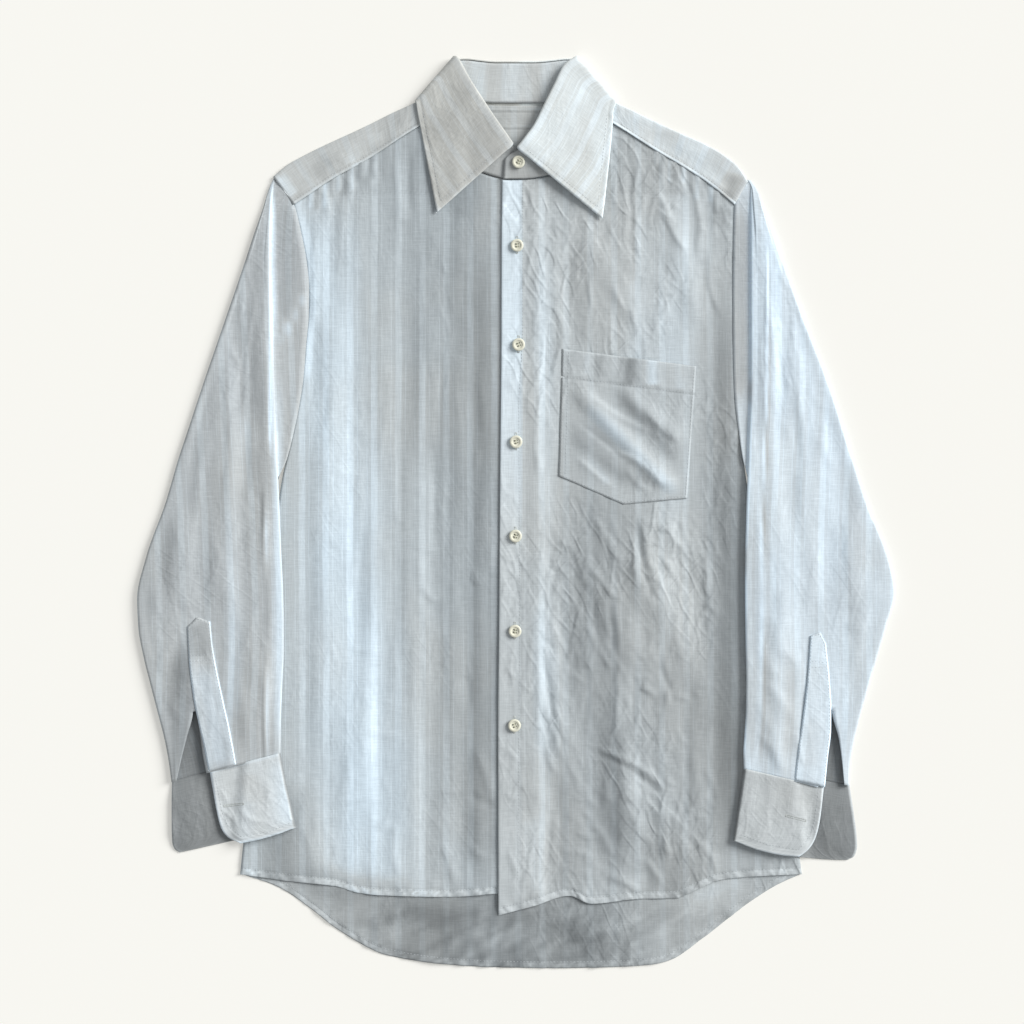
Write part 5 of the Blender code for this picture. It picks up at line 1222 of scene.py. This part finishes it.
# Collar stations from the front end to the side of the neck: seam, roll and outer edge, each X, Y, Z
collar = {
    left: [(-8.0, 300.2, 3.0, -3.0, 328.5, 4.6, -71.0, 269.0, 4.7),
           (-20.0, 302.2, 3.0, -9.0, 336.5, 6.4, -73.4, 281.0, 4.4),
           (-40.0, 310.0, 3.4, -19.0, 350.0, 8.2, -77.4, 302.0, 4.6),
           (-56.0, 321.5, 3.6, -31.0, 368.0, 8.6, -82.0, 325.0, 5.7),
           (-68.0, 340.5, 3.8, -42.5, 386.0, 8.0, -86.0, 346.0, 6.4),
           (-70.8, 357.0, 4.6, -49.5, 399.0, 7.0, -88.6, 359.0, 7.1)],
    right: [(8.0, 299.4, 4.9, 1.6, 324.6, 8.2, 77.7, 263.3, 4.7),
            (21.0, 301.0, 4.6, 8.6, 333.0, 8.8, 79.4, 276.0, 4.4),
            (40.0, 307.0, 4.0, 17.5, 345.0, 8.2, 82.0, 299.0, 4.6),
            (57.0, 319.5, 3.6, 27.5, 365.0, 8.6, 84.6, 323.0, 5.7),
            (69.0, 338.5, 3.8, 37.0, 384.0, 8.0, 86.6, 345.0, 6.4),
            (72.6, 357.0, 4.6, 44.8, 399.0, 7.0, 87.4, 359.0, 7.1)],
    "standEnds": {left: [(13.0, 300.0, 2.9, 10.5, 317.5, 3.5), (7.0, 300.0, 2.9, 6.0, 322.5, 3.7)],
                  right: [(-11.4, 299.3, 4.9, -10.2, 316.5, 6.1), (-6.5, 299.3, 4.9, -5.5, 321.0, 6.4)]},
    # where it folds flat at each side: middle of the curve, way it bulges, radius, lower layer
    "bends": {"seam": (67.4, 377.0, 0.0, 1.0, 1.1, 2.7), "roll": (53.6, 405.6, 0.5, 0.86, 1.95, 2.7),
              "edge": (89.6, 366.4, 0.35, 0.94, 3.2, 0.8)},
    "back": [(56, 374.0, 45, 405.8, 76, 356), (42, 370.0, 34, 404.6, 58, 351.5),
             (20, 367.9, 17, 403.2, 28, 350)],
    "standShares": (0, 0.35, 0.7, 1), "leafShares": (0.1, 0.25, 0.45, 0.7, 1), "roll": 1.6,
    "backRoll": 0.95,
    "stand": {"cut": (0.372, 0.056), "restsOn": ["collar_leaf", "front_left", "front_right"]},
    "leaf": {"cut": (0.358, 0.104), "restsOn": ["front_left", "front_right"]}}


def makeCollar():
    low = heights["doubleWall"] / 2
    standHigh = low + heights["doubleWall"] + heights["gap"]
    stand, leaf = [], []
    for side in (left, right):
        halfStand, halfLeaf = [], []
        for row in collar["standEnds"][side]:
            seam, top = np.array(row[:3]), np.array(row[3:])
            halfStand.append([seam + (top - seam) * s for s in collar["standShares"]])

        def add(seam, roll, edge, out, rollRadius):
            way = (roll - seam) / np.linalg.norm(roll - seam)
            halfStand.append([seam + (roll - seam) * s for s in collar["standShares"]])
            start = heights["gap"] + 2 * heights["spare"]
            over = [roll + way * (start + rollRadius * np.sin(a))
                    + out * (rollRadius - rollRadius * np.cos(a))
                    for a in np.radians((0, 45, 90, 135, 180))]
            fall = []
            for s in collar["leafShares"]:
                point = over[-1] + (edge - over[-1]) * s
                point[2] = edge[2] + (over[-1][2] - edge[2]) * (1 - s) ** 1.15
                fall.append(point)
            halfLeaf.append(over + fall)

        for row in collar[side]:
            add(*(np.array(row[k:k + 3]) for k in (0, 3, 6)), np.array([0, 0, 1.0]), collar["roll"])
        for turn in np.radians((0, 35, 70, 110, 145, 180)):
            spots = []
            for x, y, wayX, wayY, radius, foot in collar["bends"].values():
                spots.append(np.array([side * (x + radius * np.sin(turn) * wayX),
                                       y + radius * np.sin(turn) * wayY,
                                       foot + radius * (1 + np.cos(turn))]))
            out = np.array([side * np.sin(turn), 0, np.cos(turn)])
            add(*spots, out, collar["roll"] + (collar["backRoll"] - collar["roll"])
                * (1 - np.cos(turn)) / 2)
        for seamX, seamY, rollX, rollY, edgeX, edgeY in collar["back"]:
            add(np.array([side * seamX, seamY, standHigh]), np.array([side * rollX, rollY, standHigh]),
                np.array([side * edgeX, edgeY, low]), np.array([0, 0, -1.0]), collar["backRoll"])
        if side == right:
            halfStand.reverse()
            halfLeaf.reverse()
        stand += halfStand
        leaf += halfLeaf

    coarse = np.array(stand)
    net = refine(coarse, evenSteps(coarse, 2.4, 2), [6, 6, 5])
    flat = measured(net)[..., ::-1] * np.array([-1, 1])
    x, y = placesOf(net)
    net[..., 2] += 0.12 * softNoise(x, y, (22, 14), 3)
    # tone is painted light and shade: painted shade on the stand's front, where the leaf covers it, lighter
    # towards the back of the neck, with a little random tone
    tone = 0.37 + 0.17 * softStep((y - 355) / 20) + 0.12 * softNoise(x, y, (7, 40), 12)
    grown = layCloth("collar_stand", [(net, flat, marked(0 * x, tone))], finishes["stand"],
                     double=True)

    coarse = np.array(leaf)
    net = refine(coarse, evenSteps(coarse, 2.2, 2), [2, 2, 2, 2, 3, 4, 6, 8, 14])
    flat = measured(net)
    x, y = placesOf(net)
    fromEdge = flat[:, -1:, 0] - flat[..., 0]
    ends = np.minimum(-flat[..., 1], flat[..., 1] - flat[-1:, :, 1])
    groove = np.maximum(bell(fromEdge - 5.5, 1.0), bell(ends - 5.5, 1.2))
    show = (net[..., 2] > 4).astype(float)
    nearEdge = bell(np.minimum(fromEdge, ends) - 3, 3.5)
    net[..., 2] += show * (0.25 * nearEdge * softNoise(x + y, x - y, (3.2, 20), 19) - 0.3 * groove)
    net[..., 2] += show * 0.25 * softNoise(x, y, (18, 26), 14) * softStep(fromEdge / 20)
    # tone is painted light and shade: painted shade on the viewer's left leaf, painted light on the right
    # one, painted highlights along the edges and painted shade in the stitch groove, with a little random
    # tone
    edgeHighlight = bell(fromEdge, 1.3) + bell(ends, 1.3)
    tone = (0.41 + 0.28 * softStep((x + 20) / 40) + 0.10 * softNoise(x, y, (11, 26), 22)
            + show * (0.16 * edgeHighlight - 0.07 * groove))
    made = layCloth("collar_leaf", [(net, flat, marked(0 * x, tone))], finishes["collar"],
                    double=True)
    return {"collar_stand": grown, "collar_leaf": made}


pieces.update(makeCollar())

pocket = {
    "top": ((41.4, 146.7), (162, 131)), "foot": ((38.3, 32.4), (96.3, 6.9), (153.9, 12.2)),
    "folds": [(44, 120, 150, 12, 3.2, 8), (46, 76, 108, 26, 1.8, 7), (90, 112, 152, 62, 2.0, 8)],
    "creases": [(60, 112, 130, 66, 0.9, 4, 3), (56, 84, 98, 46, -0.8, 4, 2), (84, 58, 140, 20, 1.1, 4, -3),
                (110, 92, 150, 60, 0.8, 4, 0), (50, 50, 92, 20, 0.7, 4, 0), (96, 40, 120, 14, 0.7, 3, 0),
                (78, 128, 84, 112, -0.6, 3, 0), (104, 126, 108, 108, -0.6, 4, 0),
                (128, 120, 132, 104, 0.5, 3, 0)],
    # bands of painted light and shade along the pocket's folds
    "paintedShading": [(54, 104, 150, 10, 0.30, 7), (46, 84, 118, 20, -0.34, 8), (84, 116, 146, 44, -0.32, 6),
              (64, 146, 63, 122, 0.14, 3), (75, 144, 74, 118, -0.3, 4), (103, 144, 102, 112, -0.46, 7),
              (122, 142, 123, 112, 0.34, 6), (48, 144, 47, 122, -0.14, 3), (146, 138, 147, 108, 0.16, 6),
              (62, 60, 84, 22, 0.16, 6), (150, 130, 154, 20, 0.12, 6)],
    "hem": 25.0, "held": 0.14, "gape": 1.2, "mouth": 0.2, "cut": (0.122, 0.136), "restsOn": ["front_left"]}


def makePocket():
    s, t = np.linspace(0, 1, 61), np.linspace(0, 1, 73)
    top = np.stack([np.interp(s, (0, 1), [p[k] for p in pocket["top"]]) for k in (0, 1)], -1)
    foot = np.stack([np.interp(s, (0, 0.5, 1), [p[k] for p in pocket["foot"]]) for k in (0, 1)], -1)
    plan = top[None] * (1 - t[:, None, None]) + foot[None] * t[:, None, None]
    across, down = np.meshgrid(s, t)
    held = softStep(across / pocket["held"]) * softStep((1 - across) / pocket["held"])
    held = held * softStep((1 - down) / pocket["held"])
    x, y = placesOf(plan)
    gape = pocket["gape"] * (1 - softStep(down / pocket["mouth"])) * np.sin(np.pi * across) ** 0.8
    high = overFrontHeight(x, y, 0.0) + heights["cloth"] + 0.15 + gape
    fromTop = top[None, :, 1] - y
    below = softStep((fromTop - pocket["hem"]) / 8)
    high = high + held * foldHeight(x, y, pocket["folds"])
    high = high + held * creaseHeight(x, y, pocket["creases"]) * (0.4 + 0.6 * below)
    high = high + 0.4 * held * creaseWeb(x, y, (20, 30), -40, 77)
    line = bell(fromTop - pocket["hem"], 1.2)
    high = high - 0.5 * line
    doubled = 0.3 * (fromTop < pocket["hem"])
    points = withHeight(plan, high)
    # tone is painted light and shade: bands from the rows, and painted shade along the hem's fold line
    tone = toneAt(x, y, 0.45, pocket["paintedShading"], 9) - 0.14 * line
    return layCloth("pocket", [(points, plan.copy(), marked(doubled, tone))], finishes["pocket"])


pieces["pocket"] = makePocket()
print("all cloth laid")

# Buttons with a raised rim, four holes and thread through them
buttons = {
    "places": {"button_1": (0.9, 239.4), "button_2": (2.3, 150.3), "button_3": (0.0, 63.0),
               "button_4": (-0.5, -21.6), "button_5": (-0.9, -107.0), "button_6": (-1.4, -191.7),
               "button_collar": (2.2, 314.0), "button_cuff_right": cuffButtons[left],
               "button_cuff_left": cuffButtons[right]},
    "wide": 11.5, "thick": 2.3, "holeWide": 1.5, "holeAway": 1.15, "steps": 48,
    "profile": [(0.0, 0.66), (0.42, 0.64), (0.56, 0.70), (0.66, 0.96), (0.76, 1.0), (0.88, 0.97),
                (0.96, 0.84), (1.0, 0.62), (0.97, 0.36), (0.80, 0.10), (0.66, 0.0), (0.0, 0.0)],
    "threadWide": 0.42}


def buttonMesh():
    # a turned disc whose holes are cut through
    bm = bmesh.new()
    points = [bm.verts.new((r * buttons["wide"] / 2 * mm, 0, h * buttons["thick"] * mm))
              for r, h in buttons["profile"]]
    edges = [bm.edges.new(pair) for pair in zip(points, points[1:])]
    bmesh.ops.spin(bm, geom=points + edges, cent=(0, 0, 0), axis=(0, 0, 1), angle=2 * np.pi,
                   steps=buttons["steps"], use_merge=True)
    bmesh.ops.remove_doubles(bm, verts=bm.verts, dist=0.01 * mm)
    bmesh.ops.recalc_face_normals(bm, faces=bm.faces)
    disc = meshOf("button_disc", bm)
    bm = bmesh.new()
    for signX in (-1, 1):
        for signY in (-1, 1):
            spot = Matrix.Translation(Vector((signX, signY, 1.1)) * buttons["holeAway"] * mm)
            bmesh.ops.create_cone(bm, cap_ends=True, segments=16, radius1=buttons["holeWide"] / 2 * mm,
                                  radius2=buttons["holeWide"] / 2 * mm, depth=6 * mm, matrix=spot)
    blank, tool = linked("blank", disc), linked("tool", meshOf("button_drill", bm))
    cut = blank.modifiers.new("Holes", "BOOLEAN")
    cut.operation, cut.object = "DIFFERENCE", tool
    made = bpy.data.meshes.new_from_object(blank.evaluated_get(bpy.context.evaluated_depsgraph_get()))
    for item in (blank, tool):
        bpy.data.objects.remove(item, do_unlink=True)
    made.shade_smooth()
    made.set_sharp_from_angle(angle=np.radians(35))
    return made


def threadRings(bm, place, turn):
    # two bars of thread between the holes, each a small bundle
    away, high = buttons["holeAway"], buttons["thick"] * 0.66
    radius, turned = buttons["threadWide"] / 2, Matrix.Rotation(turn, 4, "Z")
    for signY in (-1, 1):
        for strand in (-0.36, 0.0, 0.36):
            ends = [Vector((sign * away, signY * away + strand, 0)) for sign in (-1, 1)]
            rings = []
            for t in np.linspace(0, 1, 9):
                spot = ends[0].lerp(ends[1], t)
                spot.z = high - 0.5 + 0.9 * np.sin(np.pi * t) ** 0.6
                about = [Vector((0, radius * np.cos(a), radius * np.sin(a)))
                         for a in np.linspace(0, 2 * np.pi, 7)[:-1]]
                rings.append([bm.verts.new(place @ (turned @ (spot + out))) for out in about])
            for first, second in zip(rings, rings[1:]):
                for k in range(6):
                    bm.faces.new((first[k], first[(k + 1) % 6], second[(k + 1) % 6], second[k]))


def makeButtons():
    disc = buttonMesh()
    turns = np.random.default_rng(7).uniform(-0.5, 0.5, len(buttons["places"]))
    for turn, (node, (x, y)) in zip(turns, buttons["places"].items()):
        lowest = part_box(node)[0][2] - (0.9 * mm if node == "button_collar" else 0)
        flipped = node.startswith("button_cuff")
        place = Matrix.Translation((x * mm, y * mm, lowest + (buttons["thick"] * mm if flipped else 0)))
        if flipped:
            place = place @ Matrix.Rotation(np.pi, 4, "X")
        mesh = disc.copy()
        mesh.transform(place @ Matrix.Rotation(turn, 4, "Z"))
        mesh.materials.clear()
        mesh.materials.append(finishes["ivory"])
        piece = linked(node + "_turned", mesh)
        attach(piece, "root")
        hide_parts(node)
        bm = bmesh.new()
        threadRings(bm, place @ Matrix.Scale(mm, 4), turn)
        bmesh.ops.recalc_face_normals(bm, faces=bm.faces)
        addPiece(node + "_thread", bm, finishes["buttonThread"])
    print("buttons made:", len(buttons["places"]))


makeButtons()

# Sewing: stitches laid on the finished cloth along each seam and hem
sewing = {
    "long": 2.2, "pitch": 3.0, "wide": 0.38, "tall": 0.3,
    "collar": [[(-6.6, 332.6), (-67.4, 279.4), (-83.2, 358)], [(9.7, 324.7), (73.2, 273.9), (81.9, 358)]],
    "cuff": {left: [(-270, -237), (-267.5, -250), (-264, -268.5), (-259, -281), (-246, -291), (-222, -287),
                    (-203, -279)],
             right: [(271.5, -251), (270, -262), (267.5, -279), (264, -291), (253, -303), (225, -298),
                     (201, -289)]},
    "box": {left: (-129, -134), right: (-135, -140)},
    "facing": [(6.2, 296), (5.8, 150), (2.6, 100), (3.4, -115), (1.8, -330)],
    "hole": {left: ((-262, -264), (-244.5, -261.6)), right: ((242, -272), (260, -277))}}


def surfaceOf(name):
    return BVHTree.FromObject(pieces[name], bpy.context.evaluated_depsgraph_get())


def dropOn(tree, x, y):
    # highest point and normal of the cloth below a place
    spot, normal = tree.ray_cast(Vector((x * mm, y * mm, 0.05)), Vector((0, 0, -1)))[:2]
    return (spot, normal) if spot else None


def stitchAt(bm, spot, normal, way, long):
    across = normal.cross(way).normalized()
    way = across.cross(normal).normalized()
    turned = Matrix((way, across, normal)).transposed().to_4x4()
    size = Matrix.Diagonal((long * mm, sewing["wide"] * mm, sewing["tall"] * mm, 1))
    place = Matrix.Translation(spot + normal * 0.08 * mm) @ turned @ size
    bmesh.ops.create_icosphere(bm, subdivisions=1, radius=0.5, matrix=place)


def sewLines(name, onto, lines):
    tree = surfaceOf(onto)
    pitch = sewing["pitch"]
    bm = bmesh.new()
    for line in lines:
        points = np.array(line, float)
        length = chord(points)
        at = np.arange(pitch / 2, length[-1], pitch)
        spots = np.stack([np.interp(at, length, points[:, k]) for k in (0, 1)], -1)
        ways = np.stack([np.interp(at + 1, length, points[:, k]) for k in (0, 1)], -1) - spots
        for (x, y), (wayX, wayY) in zip(spots, ways):
            found = dropOn(tree, x, y)
            if found and wayX * wayX + wayY * wayY > 0.01:
                stitchAt(bm, *found, Vector((wayX, wayY, 0)).normalized(), sewing["long"])
    piece = addPiece("stitches_" + name, bm, finishes["thread"])
    print("sewn:", name, len(piece.data.polygons), "faces")


def offsetLine(rows, away, shares):
    # an edge moved sideways by a distance
    points = edgePoints(rows, shares)
    way = np.gradient(points, axis=0)
    way = way / np.linalg.norm(way, axis=1)[:, None]
    return points + np.stack([-way[:, 1], way[:, 0]], -1) * away


def workButtonhole(name, onto, start, end, slotName="linen"):
    # close bars of thread down both sides of a slit, and one across each end
    tree = surfaceOf(onto)
    bm = bmesh.new()
    start, end = Vector((*start, 0)), Vector((*end, 0))
    way = (end - start).normalized()
    across = Vector((-way.y, way.x, 0))
    for share in np.linspace(0, 1, int((end - start).length / 0.55)):
        for sign in (-1, 1):
            spot = start.lerp(end, float(share)) + across * 0.75 * sign
            found = dropOn(tree, spot.x, spot.y)
            if found:
                stitchAt(bm, *found, across, 1.25)
    for spot in (start, end):
        for shift in (-0.3, 0.3):
            found = dropOn(tree, *(spot + way * shift)[:2])
            if found:
                stitchAt(bm, *found, across, 2.6)
    addPiece("buttonhole_" + name, bm, finishes["holeThread"])


def sewAll():
    fine = np.linspace(0, 1, 60)
    for name, onto, edge, side in (("tail", "back", "tailHem", 1),
                                   ("front_right", "front_right", "leftHem", 1),
                                   ("front_left", "front_left", "rightHem", -1)):
        sewLines(name, onto, [offsetLine(body[edge], side * body["hemWide"], fine)])
    seams = (("leftYokeSeam", 2.2), ("rightYokeSeam", -2.2))
    sewLines("yoke", "yoke", [offsetLine(body[edge], away, fine[:52]) for edge, away in seams])
    (firstX, firstY), (lastX, lastY) = pocket["top"]
    (footX, footY), (pointX, pointY), (endX, endY) = pocket["foot"]
    inset, hem = 1.6, pocket["hem"]
    outline = [(firstX + inset, firstY - 1), (footX + inset, footY + 1.2), (pointX, pointY + inset + 0.4),
               (endX - inset, endY + inset), (lastX - inset, lastY - 1)]
    inner = [(firstX + 6, firstY - 2), (footX + 6, footY + 1)]
    sewLines("pocket", "pocket", [outline, inner, [(firstX + 1, firstY - hem), (lastX - 2, lastY - hem)]])
    sewLines("collar", "collar_leaf", sewing["collar"])
    sewLines("facing", "front_left", [sewing["facing"]])
    for side in (left, right):
        rows = gauntlets[side]
        tip = gauntlets["point"][side]
        outer = [(side * (row[0] - 1.3), row[1]) for row in rows]
        inner = [(side * (row[2] + 1.3), row[3]) for row in rows]
        edge = outer[::-1] + [(tip[0], tip[1] - 1.6)] + inner
        boxed = [[(outer[0][0], y), (inner[0][0], y + 1)] for y in sewing["box"][side]]
        strip, cuff = "gauntlet_" + worn[side], "cuff_" + worn[side]
        sewLines(strip, strip, [edge] + boxed)
        sewLines(cuff, cuff, [sewing["cuff"][side]])
        workButtonhole(cuff, cuff, *sewing["hole"][side], "doubled_linen")
    for number in range(1, 7):
        x, y = buttons["places"]["button_" + str(number)]
        workButtonhole(str(number), "front_left", (x, y + 8.0), (x, y - 7.0))


sewAll()

# Floor, light and camera
studio = {
    "floor": (0.62, 0.614, 0.583), "glow": 0.54, "sky": 0.385, "sun": 3.85,
    "sunFrom": (0.80, 0.40, 0.50), "softness": 0.56,
    "high": 2.176, "lens": 85.0, "middle": (-0.0036, 0.0)}


def makeStudio():
    bm = bmesh.new()
    bmesh.ops.create_grid(bm, x_segments=1, y_segments=1, size=3)
    floor = linked("floor", meshOf("floor", bm))
    paper, shader = newMaterial("floor_paper", 0.9)
    shader.inputs["Base Color"].default_value = (*studio["floor"], 1)
    shader.inputs["Specular IOR Level"].default_value = 0.1
    shader.inputs["Emission Color"].default_value = (*studio["floor"], 1)
    shader.inputs["Emission Strength"].default_value = studio["glow"]
    floor.data.materials.append(paper)

    scene = bpy.context.scene
    world = bpy.data.worlds.new("studio") if scene.world is None else scene.world
    scene.world = world
    world.use_nodes = True
    sky = world.node_tree.nodes["Background"]
    sky.inputs["Color"].default_value = (0.97, 0.985, 1.0, 1)
    sky.inputs["Strength"].default_value = studio["sky"]
    sun = linked("key", bpy.data.lights.new("key", "SUN"))
    sun.data.energy = studio["sun"]
    sun.data.angle = studio["softness"]
    sun.data.color = (1.0, 0.995, 0.985)
    sun.rotation_euler = Vector(studio["sunFrom"]).to_track_quat("Z", "Y").to_euler()

    camera = linked("camera", bpy.data.cameras.new("camera"))
    camera.data.lens = studio["lens"]
    camera.data.sensor_width = 36
    camera.location = (*studio["middle"], studio["high"])
    scene.camera = camera
    scene.view_settings.view_transform = "Standard"
    print("studio ready")


makeStudio()
